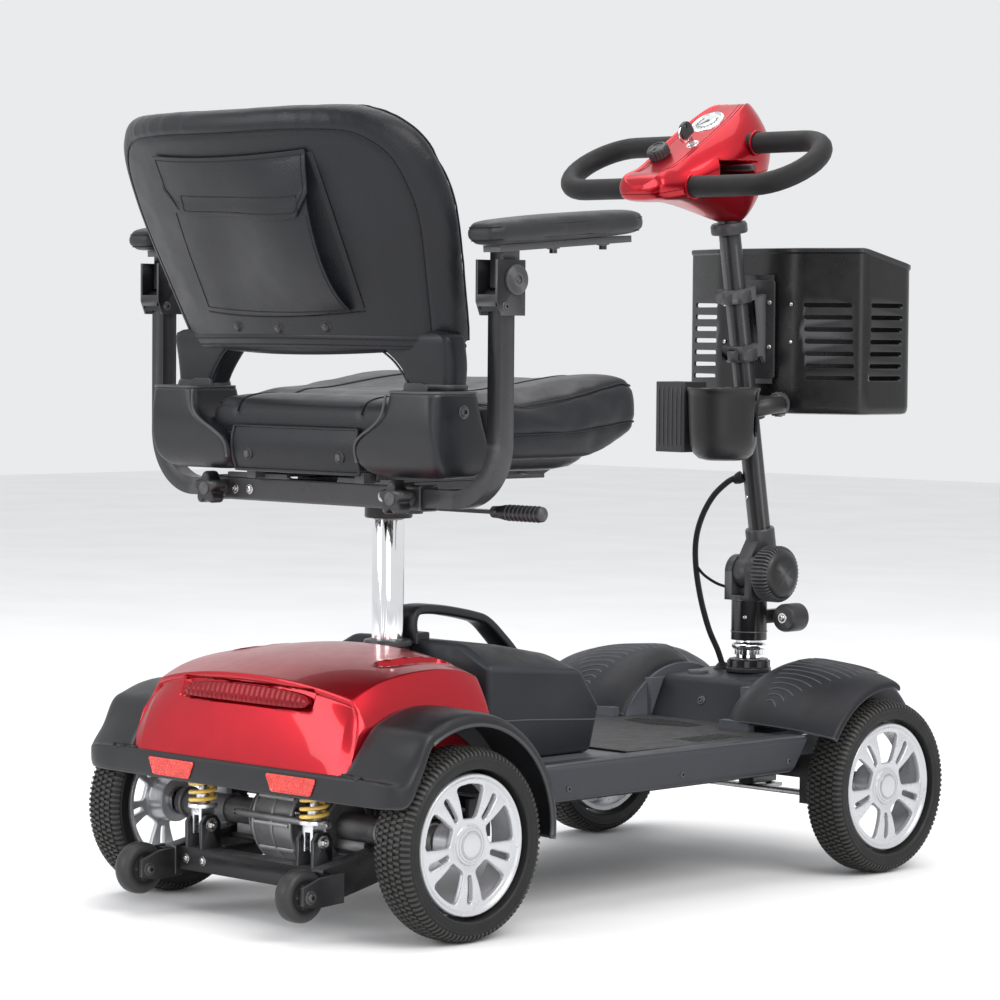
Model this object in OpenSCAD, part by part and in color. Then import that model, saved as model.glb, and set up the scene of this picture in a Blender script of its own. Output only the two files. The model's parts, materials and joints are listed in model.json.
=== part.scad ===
// Four-wheel mobility scooter. Millimetres, +Z up, front towards -Y, rider's right towards -X.
// Heights count from the ground. Inside each module, y counts from the rear wheels' axle.

/* [Running gear] */
// Distance between the front and rear wheel centres
wheelbase = 682; // [600:1:760]
// Tyre radius, measured over the centre ribs
tyre_r = 100; // [90:1:110]
// Tyre width across the side walls
tyre_w = 52; // [44:1:60]
// Middle of a rear tyre, from the centre plane
rear_track = 227.5; // [210:0.5:240]
// Middle of a front tyre, from the centre plane
front_track = 221.5; // [205:0.5:235]
// Anti-tip wheel radius
antitip_r = 27.5; // [20:0.5:30]

/* [Body] */
// Rear axle's place along Y, which centres the whole scooter
rear_axle_y = 357.25; // [340:0.25:380]
// Half the width of the foot deck
deck_hw = 210; // [180:1:215]
// Height of the deck's floor
floor_z = 160; // [140:1:170]
// Half the width of the red rear cover
cover_hw = 170; // [150:1:180]

/* [Seat] */
// Seat post's place behind the front wheels, as y from the rear axle
post_y = -115; // [-140:1:-90]
// Seat post radius
post_r = 17.5; // [15:0.5:20]
// Lean of the backrest from upright
recline = 25; // [5:1:30]
// Inner radius of the wrapped backrest shell
back_curve_r = 542; // [450:1:700]
// Middle of an armrest's upright tube, from the centre plane
armrest_x = 263.5; // [255:0.5:280]

/* [Tiller] */
// Steering axis, as y from the rear axle
steer_y = -714; // [-740:1:-690]
// Fold pivot height
fold_z = 333; // [310:1:350]
// Tiller tube radius
tiller_r = 13; // [11:0.5:15]
// Handle grip radius
grip_r = 12.5; // [10:0.5:14]

/* [Show] */
// One sub-part, or all of them

/* [Hidden] */
$fn = 64;
fit = 0.05;          // radial clearance of a running fit
gap = 0.3;           // clearance between parts that move past each other
front_y = -wheelbase;
kingpin_x = 165;
swing_y = -125;      // rear suspension pivot
swing_z = 95;
spring_x = 88;
spring_y = 71;
antitip_x = 127;
antitip_y = 126;
antitip_z = antitip_r + 20.5;
lever_x = -46;       // lock lever on the column's right
lever_y = steer_y - 38;
lever_z = 280;
tube = 19;           // armrest's square tube
bar_z = 448;         // seat crossbar's middle height
bar_y = post_y + 95.5;
knob_x = 146;        // armrest clamp knob
arm_pivot_y = -24;
arm_pivot_z = 672;
hinge_y = -8;        // backrest hinge
hinge_z = 538;
tiller_bottom = [-735.5, 362];
tiller_top = [-668, 752];
head_pivot = [-640, 812];

// ---------- shared shapes ----------

module place() { translate([0, rear_axle_y, 0]) children(); }
module both() { children(); mirror([1, 0, 0]) children(); }
module flip(left) { if (left) children(); else mirror([1, 0, 0]) children(); }
module block(x, y, z) { translate([x[0], y[0], z[0]]) cube([x[1] - x[0], y[1] - y[0], z[1] - z[0]]); }
module rod_x(r, x, y, z) { translate([x[0], y, z]) rotate([0, 90, 0]) cylinder(r = r, h = x[1] - x[0]); }
module rod_y(r, x, y, z) { translate([x, y[0], z]) rotate([-90, 0, 0]) cylinder(r = r, h = y[1] - y[0]); }
module rod_z(r, x, y, z) { translate([x, y, z[0]]) cylinder(r = r, h = z[1] - z[0]); }
// a side outline, given as [y, z] points, pulled out along X
module side_plate(x, points) {
    translate([x[0], 0, 0]) rotate([90, 0, 90]) linear_extrude(x[1] - x[0]) polygon(points);
}
// a plan outline, given as [x, y] points, pulled up along Z
module plan_plate(z, points) { translate([0, 0, z[0]]) linear_extrude(z[1] - z[0]) polygon(points); }
function arc(c, r, a0, a1, n) = [for (i = [0:n]) let (a = a0 + (a1 - a0) * i / n) c + r * [cos(a), sin(a)]];
function mix(a, b, t) = a + (b - a) * t;

// ---------- wheels ----------

tyre_mid = tyre_r - 14.4;
// rounded tyre section as [radius, across]; the bead is open towards the rim
function tyre_section() = [for (i = [0:26]) let (a = -34 + 248 * i / 26)
    [tyre_mid + 12 * sign(sin(a)) * pow(abs(sin(a)), 0.75),
     tyre_w / 2 * sign(cos(a)) * pow(abs(cos(a)), 0.6)]];

module tyre_shape() {
    rotate([0, 90, 0]) {
        rotate_extrude($fn = 96) polygon([for (p = tyre_section()) [max(p[0], 73.4), p[1]]]);
        for (x = [-6, 6]) translate([0, 0, x - 2])
            difference() {
                cylinder(r = tyre_r, h = 4, $fn = 96);
                translate([0, 0, -1]) cylinder(r = tyre_r - 5, h = 6, $fn = 96);
            }
    }
}

rim_r = 73;
// window between two double spokes, with rounded corners
function window(r0, r1, a0, a1) = concat(
    [r0 * [cos(-a0 + 4), sin(-a0 + 4)], (r0 + 2) * [cos(-a0), sin(-a0)]],
    [(r1 - 5) * [cos(-a1), sin(-a1)], (r1 - 1) * [cos(-a1 + 3), sin(-a1 + 3)]],
    [for (i = [-2:2]) r1 * [cos(i * a1 / 4), sin(i * a1 / 4)]],
    [(r1 - 1) * [cos(a1 - 3), sin(a1 - 3)], (r1 - 5) * [cos(a1), sin(a1)]],
    [(r0 + 2) * [cos(a0), sin(a0)], r0 * [cos(a0 - 4), sin(a0 - 4)]]);

module rim_shape(bore) {
    rotate([0, 90, 0]) difference() {
        rotate_extrude($fn = 96) polygon([[bore, -14], [24, -14], [24, 10], [66, 10], [66, -17],
            [70, -21], [rim_r, -21], [rim_r, -17], [70, -14], [70, 14], [rim_r, 17], [rim_r, 20.5],
            [69, 20.5], [65, 17], [22, 17], [21.5, 11], [bore, 11]]);
        for (k = [0:4]) rotate([0, 0, 72 * k + 90]) {
            linear_extrude(30) polygon(window(28, 63, 21, 18));
            rotate([0, 0, 36]) translate([30, -3.2, 0]) linear_extrude(30)
                polygon(concat(arc([3, 3.2], 3.2, 90, 270, 6), arc([27, 3.2], 3.2, -90, 90, 6)));
        }
    }
}

module wheel_at(left, track, y) {
    translate([left ? track : -track, y, tyre_r]) flip(left) children();
}
module tyre(left, track, y) { color([0.06, 0.06, 0.06]) place() wheel_at(left, track, y) tyre_shape(); }
module rim(left, track, y) { color([0.85, 0.86, 0.88]) place() wheel_at(left, track, y) rim_shape(8 + fit); }

module tyre_fl() { tyre(true, front_track, front_y); }
module tyre_fr() { tyre(false, front_track, front_y); }
module tyre_rl() { tyre(true, rear_track, 0); }
module tyre_rr() { tyre(false, rear_track, 0); }
module rim_fl() { rim(true, front_track, front_y); }
module rim_fr() { rim(false, front_track, front_y); }
module rim_rl() { rim(true, rear_track, 0); }
module rim_rr() { rim(false, rear_track, 0); }

// ---------- chassis ----------

module frame() color([0.08, 0.08, 0.09]) place() {
    both() {
        block([60, 85], [-690, -96], [100, 125]);
        block([60, 85], [-114, -96], [125, 182]);
        block([60, 85], [-96, 96], [170, 182]);
        block([128, 134], [-140, -108], [84, 125]);
        // kingpin fork and its pin
        block([120, 180], [front_y - 14, front_y + 14], [70, 76]);
        block([120, 180], [front_y - 14, front_y + 14], [124, 130]);
        block([120, 138], [front_y - 14, front_y + 14], [76, 124]);
        rod_z(6, kingpin_x, front_y, [76, 124]);
        // upper spring seat
        rod_z(16, spring_x, spring_y, [166, 171]);
    }
    block([-60, 60], [-108, -98], [100, 125]);
    block([-134, 134], [-139, -128], [112, 125]);
    block([-85, 85], [-640, -620], [100, 125]);
    block([-120, 120], [front_y - 14, front_y + 14], [100, 124]);
    block([-85, 85], [88, 96], [158, 172]);
    rod_x(6, [-134, 134], swing_y, swing_z);
    // seat post socket
    difference() {
        union() {
            rod_z(24, 0, post_y, [100, 281]);
            block([-60, 60], [-128, -100], [100, 125]);
        }
        rod_z(post_r + fit, 0, post_y, [140, 300]);
    }
    // steering head tube and its collar
    difference() {
        union() {
            rod_z(17, 0, steer_y, [96, 214]);
            block([-12, 12], [steer_y, front_y], [100, 124]);
            rod_z(23.5, 0, steer_y, [214.6, 229]);
            rod_z(18, 0, steer_y, [213, 216]);
            rod_z(27, 0, steer_y, [214.6, 218]);
        }
        rod_z(10 + fit, 0, steer_y, [90, 240]);
    }
}

module deck() color([0.16, 0.17, 0.18]) place() {
    both() {
        // rail, its front end cut back to clear a steered tyre
        side_plate([178, deck_hw], [[-574, floor_z + 5], [-574, floor_z + 3], [-546, 124], [-141, 124],
            [-141, floor_z + 5]]);
        block([136, 140], [-760, -574], [130, floor_z]);
    }
    block([-178, 178], [-574, -141], [152, floor_z]);
    difference() {
        block([-140, 140], [-760, -574], [154, floor_z]);
        rod_z(17.5, 0, steer_y, [140, 170]);
    }
    block([-150, 150], [-574, -570], [130, 152]);
    block([-178, 178], [-145, -141], [125.5, 152]);
}

module deck_mat() color([0.10, 0.10, 0.11]) place()
    plan_plate([floor_z + 0.1, floor_z + 3], [[-170, -563], [-79, -563], [-79, -576], [-68, -612], [68, -612],
        [79, -576], [79, -563], [170, -563], [170, -322], [-170, -322]]);

// a section, given as [x, radius] points, swung about a line along X; angles run from the rear over the top
module arch(section, a0, a1, y = front_y, z = tyre_r, steps = 24) {
    m = len(section);
    polyhedron(points = [for (i = [0:steps]) let (a = mix(a0, a1, i / steps)) each
            [for (p = section) [p[0], y + p[1] * cos(a), z + p[1] * sin(a)]]],
        faces = concat([[for (k = [0:m - 1]) m - 1 - k]], [[for (k = [0:m - 1]) steps * m + k]],
            [for (i = [0:steps - 1], k = [0:m - 1])
                [i * m + k, i * m + (k + 1) % m, (i + 1) * m + (k + 1) % m, (i + 1) * m + k]]));
}
module front_shroud() color([0.16, 0.17, 0.19]) place() both() {
    arch([[80, 122], [100, 136], [128, 139], [185, 134.5], [225, 126], [244, 119], [244, 114], [225, 121],
        [185, 130], [128, 134.5], [102, 131], [84, 119]], 31.5, 98);
    arch([[80.5, 121], [100, 135], [128, 138], [184, 133.5], [184, 131], [128, 135.5], [102, 132], [84, 120]],
        90, 150);
    block([70.2, 86], [-740, -618], [floor_z + 0.1, 206]);
    block([84, 128], [-575, -566], [floor_z + 0.1, 172]);
}
// box between the arches, round the steering head
module steering_box() color([0.17, 0.18, 0.20]) place() difference() {
    side_plate([-70, 70], [[-617, floor_z + 0.1], [-641, 209], [-700, 212], [-735, 214], [-775, 205],
        [-790, floor_z + 0.1]]);
    side_plate([-66, 66], [[-622, floor_z - 1], [-645, 205], [-700, 208], [-735, 210], [-773, 201],
        [-786, floor_z - 1]]);
    block([-18.5, 18.5], [steer_y - 18.5, steer_y + 18.5], [150, 230]);
}

module rear_cover() color([0.62, 0.02, 0.06]) place() difference() {
    hull() {
        side_plate([-cover_hw, cover_hw], [[104, 170], [92, 215], [-100, 222], [-112, 200], [-112, 170]]);
        side_plate([-152, 152], [[104.5, 170], [78, 246], [-50, 277], [-95, 262], [-112, 222]]);
        side_plate([-60, 60], [[105, 170], [86, 262], [0, 281], [-70, 287], [-100, 283], [-110, 240]]);
    }
    hull() {
        side_plate([-cover_hw + 4, cover_hw - 4], [[100, 160], [88, 213], [-98, 219], [-120, 196], [-120, 160]]);
        side_plate([-148, 148], [[100, 160], [74, 243], [-50, 273], [-93, 259], [-120, 220]]);
        side_plate([-60, 60], [[101, 160], [82, 258], [0, 277], [-70, 283], [-98, 279], [-120, 240]]);
    }
    // openings over the wheels, and round the seat post socket
    both() hull() {
        rod_x(123, [150, 200], 0, tyre_r + 14);
        rod_x(100, [150, 200], -60, tyre_r + 14);
    }
    hull() {
        rod_z(25.5, 0, post_y, [160, 320]);
        rod_z(25.5, 0, post_y - 40, [160, 320]);
    }
    tail_recess();
}
module tail_recess() {
    side_plate([-100, 100], [[82, 232], [110, 232], [110, 248], [79, 248]]);
}
module tail_lamp() color([0.45, 0.01, 0.04]) place()
    side_plate([-99, 99], [[84, 232.5], [93.5, 232.5], [90.5, 247.5], [80, 247.5]]);

// rear fenders and bumper in one moulding
module rear_fenders() color([0.13, 0.13, 0.15]) place() {
    both() {
        arch([[172, 129], [234, 127], [246, 124], [250, 120], [250, 115.5], [246.5, 115.5], [246, 119], [234, 123],
            [172, 125.5]], 58, 186, 0, 108);
        side_plate([172, 246], [[56, 222], [98, 184], [104, 166], [97, 160], [93, 182], [54, 217]]);
    }
    // bumper skirt round the back
    plan_plate([143, 169.5], concat([[-246, 97], [-232, 105], [-200, 108]], arc([0, -1500], 1610, 96.4, 83.6, 12),
        [[200, 108], [232, 105], [246, 97], [241, 95], [229, 100.5], [200, 103]], arc([0, -1500], 1605, 83.6, 96.4, 12),
        [[-200, 103], [-229, 100.5], [-241, 95]]));
}

module reflectors() color([0.85, 0.10, 0.08]) place() both()
    translate([0, 110.4, 0]) rotate([90, 0, 0]) rotate([0, 2.2, 0]) translate([0, 0, -3.6]) linear_extrude(2)
        polygon([[58, 164], [130, 164], [123, 148], [66, 148]]);

// ---------- battery ----------

module battery_case() color([0.15, 0.15, 0.17]) place() hull() {
    side_plate([-130, 130], [[-141, floor_z + 0.4], [-141, 266], [-286, 252], [-314, 212], [-300, floor_z + 0.4]]);
    side_plate([-85, 85], [[-141, floor_z + 0.4], [-141, 288], [-278, 268], [-317, 214], [-304, floor_z + 0.4]]);
}
module battery_handle() color([0.12, 0.12, 0.13]) place() difference() {
    side_plate([-17, 17], [[-141, 287.9], [-137, 306], [-140, 318], [-158, 322], [-250, 311], [-300, 270],
        [-306, 246], [-278, 268.1], [-141, 288.1]]);
    side_plate([-20, 20], [[-155, 287], [-155, 309], [-165, 311], [-236, 300], [-264, 275], [-262, 271]]);
}

// ---------- steering ----------

module knuckle(left) color([0.35, 0.36, 0.38]) place() flip(left) {
    difference() {
        union() {
            rod_z(13, kingpin_x, front_y, [76 + gap, 124 - gap]);
            rod_x(8, [kingpin_x + 8, 226], front_y, tyre_r);
            rod_x(13, [kingpin_x + 8, 204], front_y, tyre_r);
            block([kingpin_x - 6, kingpin_x + 6], [front_y - 46, front_y - 8], [78, 84]);
            rod_z(3.5, kingpin_x, front_y - 40, [66, 80]);
        }
        rod_z(6 + fit, kingpin_x, front_y, [60, 140]);
    }
}
module knuckle_l() { knuckle(true); }
module knuckle_r() { knuckle(false); }

// track rod: its eyes leave room for the arms' swing
module tie_rod() color([0.3, 0.3, 0.32]) place() difference() {
    union() {
        block([-kingpin_x - 12, kingpin_x + 12], [front_y - 52, front_y - 30], [71.5, 76 - gap]);
        block([-12, 12], [steer_y - 52, front_y - 40], [71.5, 76 - gap]);
    }
    both() rod_z(8, kingpin_x, front_y - 40, [60, 80]);
    rod_z(8, 0, steer_y - 40, [60, 80]);
}

module steering_column() color([0.05, 0.05, 0.06]) place() {
    rod_z(10, 0, steer_y, [78, 252]);
    block([-7, 7], [steer_y - 46, steer_y], [78, 88]);
    rod_z(3.5, 0, steer_y - 40, [66, 80]);
    rod_z(21.5, 0, steer_y, [252, 304]);
    // lug that holds the lock lever
    difference() {
        union() {
            block([lever_x - 9, -8], [lever_y - 4, lever_y - gap], [272, 288]);
            block([-20, -8], [lever_y - 4, steer_y - 8], [272, 288]);
        }
        rod_y(3 + fit, lever_x, [lever_y - 10, lever_y + 10], lever_z);
    }
    // fork for the tiller's lug
    difference() {
        intersection() {
            union() {
                block([-21.5, 21.5], [steer_y - 21, steer_y + 21], [300, fold_z]);
                rod_x(21, [-21.5, 21.5], steer_y, fold_z);
            }
            rod_z(30, 0, steer_y, [300, 360]);
        }
        rod_x(5 + fit, [-30, -5], steer_y, fold_z);
        block([-10 - gap, 10 + gap], [steer_y - 60, steer_y + 60], [306, 400]);
    }
    // pivot bolt, fixed in the left cheek
    rod_x(5, [-10 - gap, 27], steer_y, fold_z);
    rod_x(9, [21, 29], steer_y, fold_z);
}
module steering_bearing() color([0.8, 0.8, 0.82]) place() difference() {
    union() {
        rod_z(15, 0, steer_y, [230, 252]);
        rod_z(20, 0, steer_y, [242, 249]);
        for (k = [0:11]) translate([0, steer_y, 234]) rotate([0, 0, 30 * k]) translate([14, -2.6, 0]) cube([5.5, 5.2, 6]);
    }
    rod_z(10, 0, steer_y, [220, 260]);
}
module lock_lever() color([0.12, 0.12, 0.13]) place() {
    difference() {
        rod_y(17, lever_x, [lever_y, lever_y + 30], lever_z);
        rod_y(13.5, lever_x, [lever_y + 6, lever_y + 40], lever_z);
    }
    rod_y(4.5, lever_x, [lever_y + 3, lever_y + 24], lever_z);
    rod_y(3, lever_x, [lever_y - 6, lever_y + 3], lever_z);
}
module fold_knob() color([0.07, 0.07, 0.08]) place() {
    rod_x(5, [-32, -10.6], steer_y, fold_z);
    rod_x(30, [-52, -24], steer_y, fold_z);
    for (k = [0:35]) translate([0, steer_y, fold_z]) rotate([10 * k, 0, 0]) block([-50, -30], [-1.7, 1.7], [29, 34.5]);
    rod_x(26, [-55, -50], steer_y, fold_z);
}

// ---------- tiller ----------

function tiller_at(t) = [0, mix(tiller_bottom[0], tiller_top[0], t), mix(tiller_bottom[1], tiller_top[1], t)];
tiller_lean = atan((tiller_top[0] - tiller_bottom[0]) / (tiller_top[1] - tiller_bottom[1]));
tiller_len = norm(tiller_top - tiller_bottom);
// places children along the tiller tube's axis, z from its bottom end
module along_tiller() { translate(tiller_at(0)) rotate([-tiller_lean, 0, 0]) children(); }

module tiller_tube() color([0.05, 0.05, 0.06]) place() {
    along_tiller() cylinder(r = tiller_r, h = tiller_len + 30);
    difference() {
        union() {
            rod_x(20, [-10, 10], steer_y, fold_z);
            side_plate([-10, 10], [[-700, 345], [-718, 372], [-742, 372], [-748, 352], [-733, 325]]);
        }
        rod_x(5 + fit, [-30, 30], steer_y, fold_z);
    }
}

module head_half(upper) {
    intersection() {
        hull() {
            translate([0, -524, 787]) rotate([90, 0, 90]) translate([0, 0, -30]) cylinder(r = 15, h = 60, $fn = 24);
            both() translate([42, -545, 790]) sphere(r = 14, $fn = 24);
            both() translate([56, -620, 822]) sphere(r = 16, $fn = 24);
            both() translate([50, -672, 835]) sphere(r = 20, $fn = 24);
            both() translate([22, -655, 878]) sphere(r = 11, $fn = 24);
            both() translate([34, -690, 852]) sphere(r = 16, $fn = 24);
            both() translate([22, -682, 770]) sphere(r = 12, $fn = 24);
            translate([0, -664, 758]) rotate([-tiller_lean, 0, 0]) cylinder(r = 20, h = 20, center = true, $fn = 32);
        }
        if (upper) side_plate([-90, 90], [[-480, 776], [-560, 776], [-640, 800.2], [-730, 800.2], [-730, 920], [-480, 920]]);
        else side_plate([-90, 90], [[-480, 776], [-560, 776], [-640, 799.8], [-730, 799.8], [-730, 720], [-480, 720]]);
    }
}
module loop_rod(extra) {
    // grips swept round the loop: straight rear and front bars joined by round ends
    translate([0, -604, 816]) rotate([-31, 0, 0]) {
        for (y = [-52, 52]) rotate([0, 90, 0]) translate([0, y, 0]) cylinder(r = grip_r + extra, h = 262, center = true);
        both() translate([131, 0, 0]) rotate([0, 0, -90])
            rotate_extrude(angle = 180) translate([52, 0]) circle(r = grip_r + extra);
    }
}
module head_upper() color([0.62, 0.02, 0.06]) place() difference() {
    head_half(true);
    loop_rod(0.1);
    throttle_slot();
    gauge_body(0.1);
    key_body(6.2);
    dial_body(9.2, 12);
    on_face(16, -566, 824) translate([0, 0, 2.7]) cylinder(r = 12.4, h = 20);
    along_tiller() cylinder(r = tiller_r + 0.1, h = tiller_len + 31);
}
module head_lower() color([0.50, 0.02, 0.05]) place() difference() {
    head_half(false);
    loop_rod(0.1);
    along_tiller() cylinder(r = tiller_r + 0.1, h = tiller_len + 31);
    throttle_slot();
}
module handle_loop() color([0.07, 0.07, 0.08]) place() difference() {
    loop_rod(0);
    along_tiller() cylinder(r = tiller_r + 0.1, h = tiller_len + 31);
    throttle_slot();
}

module throttle_slot() {
    translate([0, head_pivot[0], 0]) {
        block([-95, 95], [-14, 47], [803, 822]);
    }
}
module throttle_lever() color([0.06, 0.06, 0.07]) place() translate([0, head_pivot[0], 0]) {
    difference() {
        union() {
            plan_plate([808, 817], [[-84, 22], [-60, 14], [-16, 8], [16, 8], [60, 14], [84, 22], [84, 27], [60, 22],
                [16, 19], [-16, 19], [-60, 22], [-84, 27]]);
            rod_z(10, 0, 8, [804, 821]);
        }
        rod_z(4, 0, 8, [800, 830]);
    }
}

face_lean = 36;      // the console face's slope
module on_face(x, y, z) { translate([x, y, z]) rotate([-face_lean, 0, 0]) children(); }
module gauge_body(extra) { on_face(0, -630, 866) translate([0, 0, -9]) cylinder(r = 20 + extra, h = 12 + extra); }
module gauge() color([0.75, 0.76, 0.78]) place() gauge_body(0);
module key_body(r) { on_face(-14, -588, 838) translate([0, 0, -16]) cylinder(r = r, h = 40); }
module dial_body(r, h) { on_face(16, -566, 824) translate([0, 0, -12]) cylinder(r = r, h = h + 12); }
module speed_dial() color([0.08, 0.08, 0.09]) place() {
    dial_body(9, 3);
    on_face(16, -566, 824) translate([0, 0, 3]) difference() {
        cylinder(r = 12, h = 13);
        for (k = [0:11]) rotate([0, 0, 30 * k]) translate([12.6, 0, -1]) cylinder(r = 1.4, h = 20);
    }
}
module key() color([0.10, 0.10, 0.11]) place() on_face(-14, -588, 838) {
    translate([0, 0, -15]) cylinder(r = 6, h = 19);
    translate([-1.2, -4, 0]) cube([2.4, 8, 14]);
    difference() {
        translate([-2.5, -10, 13]) cube([5, 20, 18]);
        translate([-4, 0, 25]) rotate([0, 90, 0]) cylinder(r = 2.6, h = 8);
    }
}

// ---------- basket ----------

basket_plan = [[-60, -724], [-138, -757], [-140, -838], [-112, -868], [112, -868], [140, -838], [138, -757], [60, -724]];
wall = 2.6;
basket_low = 524;
basket_high = 722;
function shrink(points, k) = [for (p = points) [p[0] * (1 - k / 140), -796 + (p[1] + 796) * (1 - k / 72)]];
// rows of slots, cut straight through a wall whose middle and facing direction are given
module slot_rows(x, y, turn, width, stagger) {
    translate([x, y, 0]) rotate([0, 0, turn])
        for (k = [0:6]) translate([-width / 2 + stagger * k / 6, -8, 565 + 14.4 * k]) cube([width, 16, 5.4]);
}
module basket() color([0.07, 0.07, 0.08]) place() difference() {
    plan_plate([basket_low, basket_high], basket_plan);
    translate([0, 0, basket_low + wall])
        linear_extrude(basket_high - basket_low) polygon(shrink(basket_plan, wall));
    // the rim falls away towards the front
    side_plate([-200, 200], [[-757, basket_high], [-838, 704], [-900, 696], [-900, 740], [-757, 740]]);
    both() {
        slot_rows(99, -740.9, -23, 60, -4);
        slot_rows(139, -794, -91.4, 58, 3);
    }
}
module basket_bracket() color([0.05, 0.05, 0.06]) place() {
    block([-26, 26], [-723.7, -720.9], [560, 690]);
    along_tiller() difference() {
        union() {
            for (h = [232, 300]) translate([-17, -17, h]) cube([34, 34, 16]);
        }
        translate([0, 0, 200]) cylinder(r = tiller_r, h = 140);
    }
    side_plate([-17, -12], [[-721, 582], [-721, 668], [-697, 664], [-706, 600]]);
    side_plate([12, 17], [[-721, 582], [-721, 668], [-697, 664], [-706, 600]]);
    for (x = [-22, 22], z = [604, 657]) rod_y(3.5, x, [-720.9, -718], z);
}

// ---------- cup holder ----------

cup_c = [-27, -632];
module cup_bracket() color([0.06, 0.06, 0.07]) place() difference() {
    union() {
        along_tiller() translate([0, 0, 158]) difference() {
            cylinder(r = tiller_r + 7, h = 26);
            translate([0, 0, -1]) cylinder(r = tiller_r, h = 28);
        }
        rod_x(10, [-44, -16], -701, 536);
    }
    along_tiller() translate([0, 0, 100]) cylinder(r = tiller_r, h = 140);
    rod_x(4 + fit, [-50, -24], -701, 536);
    block([-30, 30], [-760, -723.5], [480, 600]);
}
module cup_holder() color([0.05, 0.05, 0.06]) place() {
    difference() {
        translate([cup_c[0], cup_c[1], 470]) rotate_extrude() polygon([[0, 0], [26, 0], [34, 5], [39, 16], [42, 85],
            [39.4, 85], [36.5, 17], [32, 7], [25, 3], [0, 3]]);
        // slot for a mug's handle
        translate([cup_c[0], cup_c[1], 0]) rotate([0, 0, 150]) block([20, 60], [-8, 8], [500, 570]);
    }
    // slot for a phone
    difference() {
        block([17, 62], [-652, -612], [479, 562]);
        block([20.5, 58.5], [-648, -616], [483, 570]);
    }
    block([10, 17.1], [-640, -624], [486, 540]);
    // arm to the clamp
    rod_x(4, [-58, -28], -701, 536);
    block([-58, -45], [-707, -650], [524, 548]);
}

// ---------- tiller harness ----------

cable_route = [[17.5, -705.5, 446], [26, -700, 440], [39, -691, 424], [50, -684, 400], [58, -682, 372], [60, -684, 340],
    [57, -690, 300], [52, -700, 262], [46, -710, 236], [43, -716, 217]];
wire_route = [[60, -684, 340], [50, -688, 328], [38, -698, 318], [26, -708, 313], [21, -712, 312]];
function unit(v) = v / norm(v);
function tangent(p, i) = unit(p[min(i + 1, len(p) - 1)] - p[max(i - 1, 0)]);
function ring(p, i, r, n) = let (t = tangent(p, i), u = unit(cross(t, [0.2, 1, 0.1])), v = cross(t, u))
    [for (k = [0:n - 1]) p[i] + r * (cos(360 * k / n) * u + sin(360 * k / n) * v)];
module sweep(p, r, n) {
    m = len(p);
    polyhedron(points = [for (i = [0:m - 1]) each ring(p, i, r, n)],
        faces = concat([[for (k = [0:n - 1]) k]], [[for (k = [0:n - 1]) (m - 1) * n + n - 1 - k]],
            [for (i = [0:m - 2], k = [0:n - 1]) [i * n + k, (i + 1) * n + k, (i + 1) * n + (k + 1) % n, i * n + (k + 1) % n]]));
}
module tiller_cable() color([0.04, 0.04, 0.05]) place() {
    sweep(cable_route, 3.6, 8);
    sweep(wire_route, 1.8, 8);
}

// ---------- rear suspension and drive ----------

module swing_frame() color([0.06, 0.06, 0.07]) place() {
    both() {
        difference() {
            hull() {
                rod_x(14, [107, 125], swing_y, swing_z);
                block([107, 125], [60, 92], [40, 70]);
            }
            rod_x(6 + fit, [90, 140], swing_y, swing_z);
            rod_x(17, [100, 130], 0, tyre_r);
        }
        // fork for the anti-tip wheel
        for (x = [antitip_x - 17, antitip_x + 12]) side_plate([x, x + 5], [[80, 38], [80, 68], [112, 66], [136, 58],
            [136, 40], [118, 36]]);
        block([antitip_x - 17, antitip_x + 17], [80, 92], [42, 66]);
        rod_x(4, [antitip_x - 16, antitip_x + 16], antitip_y, antitip_z);
        // spring bracket
        side_plate([spring_x - 14, spring_x - 9], [[58, 69], [58, 96], [64, 104], [78, 104], [84, 96], [84, 69]]);
        side_plate([spring_x + 9, spring_x + 14], [[58, 69], [58, 96], [64, 104], [78, 104], [84, 96], [84, 69]]);
        rod_x(4, [spring_x - 17, spring_x + 17], spring_y, 94);
        // plate under the axle
        block([60, 107], [-16, 16], [72, 78]);
        block([60, 66], [-16, 64], [58, 72]);
    }
    block([-107, 107], [60, 86], [45, 69]);
}
module transaxle() color([0.45, 0.46, 0.47]) place() {
    difference() {
        union() {
            rod_x(46, [-22, 34], 0, tyre_r);
            rod_x(15, [-202, 202], 0, tyre_r);
            rod_x(30, [-60, 56], 0, tyre_r);
            block([-18, 30], [-70, 0], [70, 128]);
            rod_x(30, [-98, -20], -58, 104);
            rod_x(23, [-104, -97], -58, 104);
        }
        rod_x(8 + fit, [-210, -60], 0, tyre_r);
        rod_x(8 + fit, [60, 210], 0, tyre_r);
    }
    both() block([60, 100], [-12, 12], [78, 88]);
    rod_x(4, [-80, 60], 46, 107);
}
module springs() color([0.85, 0.65, 0.05]) place() both() {
    difference() {
        union() {
            for (k = [0:5]) translate([spring_x, spring_y, 118 + 8.7 * k]) cylinder(r = 15, h = 4.4);
            rod_z(9, spring_x, spring_y, [116, 165.9]);
        }
        rod_z(7, spring_x, spring_y, [100, 180]);
    }
}
module shock_clevises() color([0.72, 0.73, 0.75]) place() both() {
    rod_z(16, spring_x, spring_y, [112, 116]);
    rod_z(4.5, spring_x, spring_y, [116, 150]);
    difference() {
        block([spring_x - 8, spring_x + 8], [spring_y - 9, spring_y + 9], [84, 112]);
        block([spring_x - 4, spring_x + 4], [spring_y - 12, spring_y + 12], [80, 104]);
        rod_x(4, [spring_x - 20, spring_x + 20], spring_y, 94);
    }
}
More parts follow.
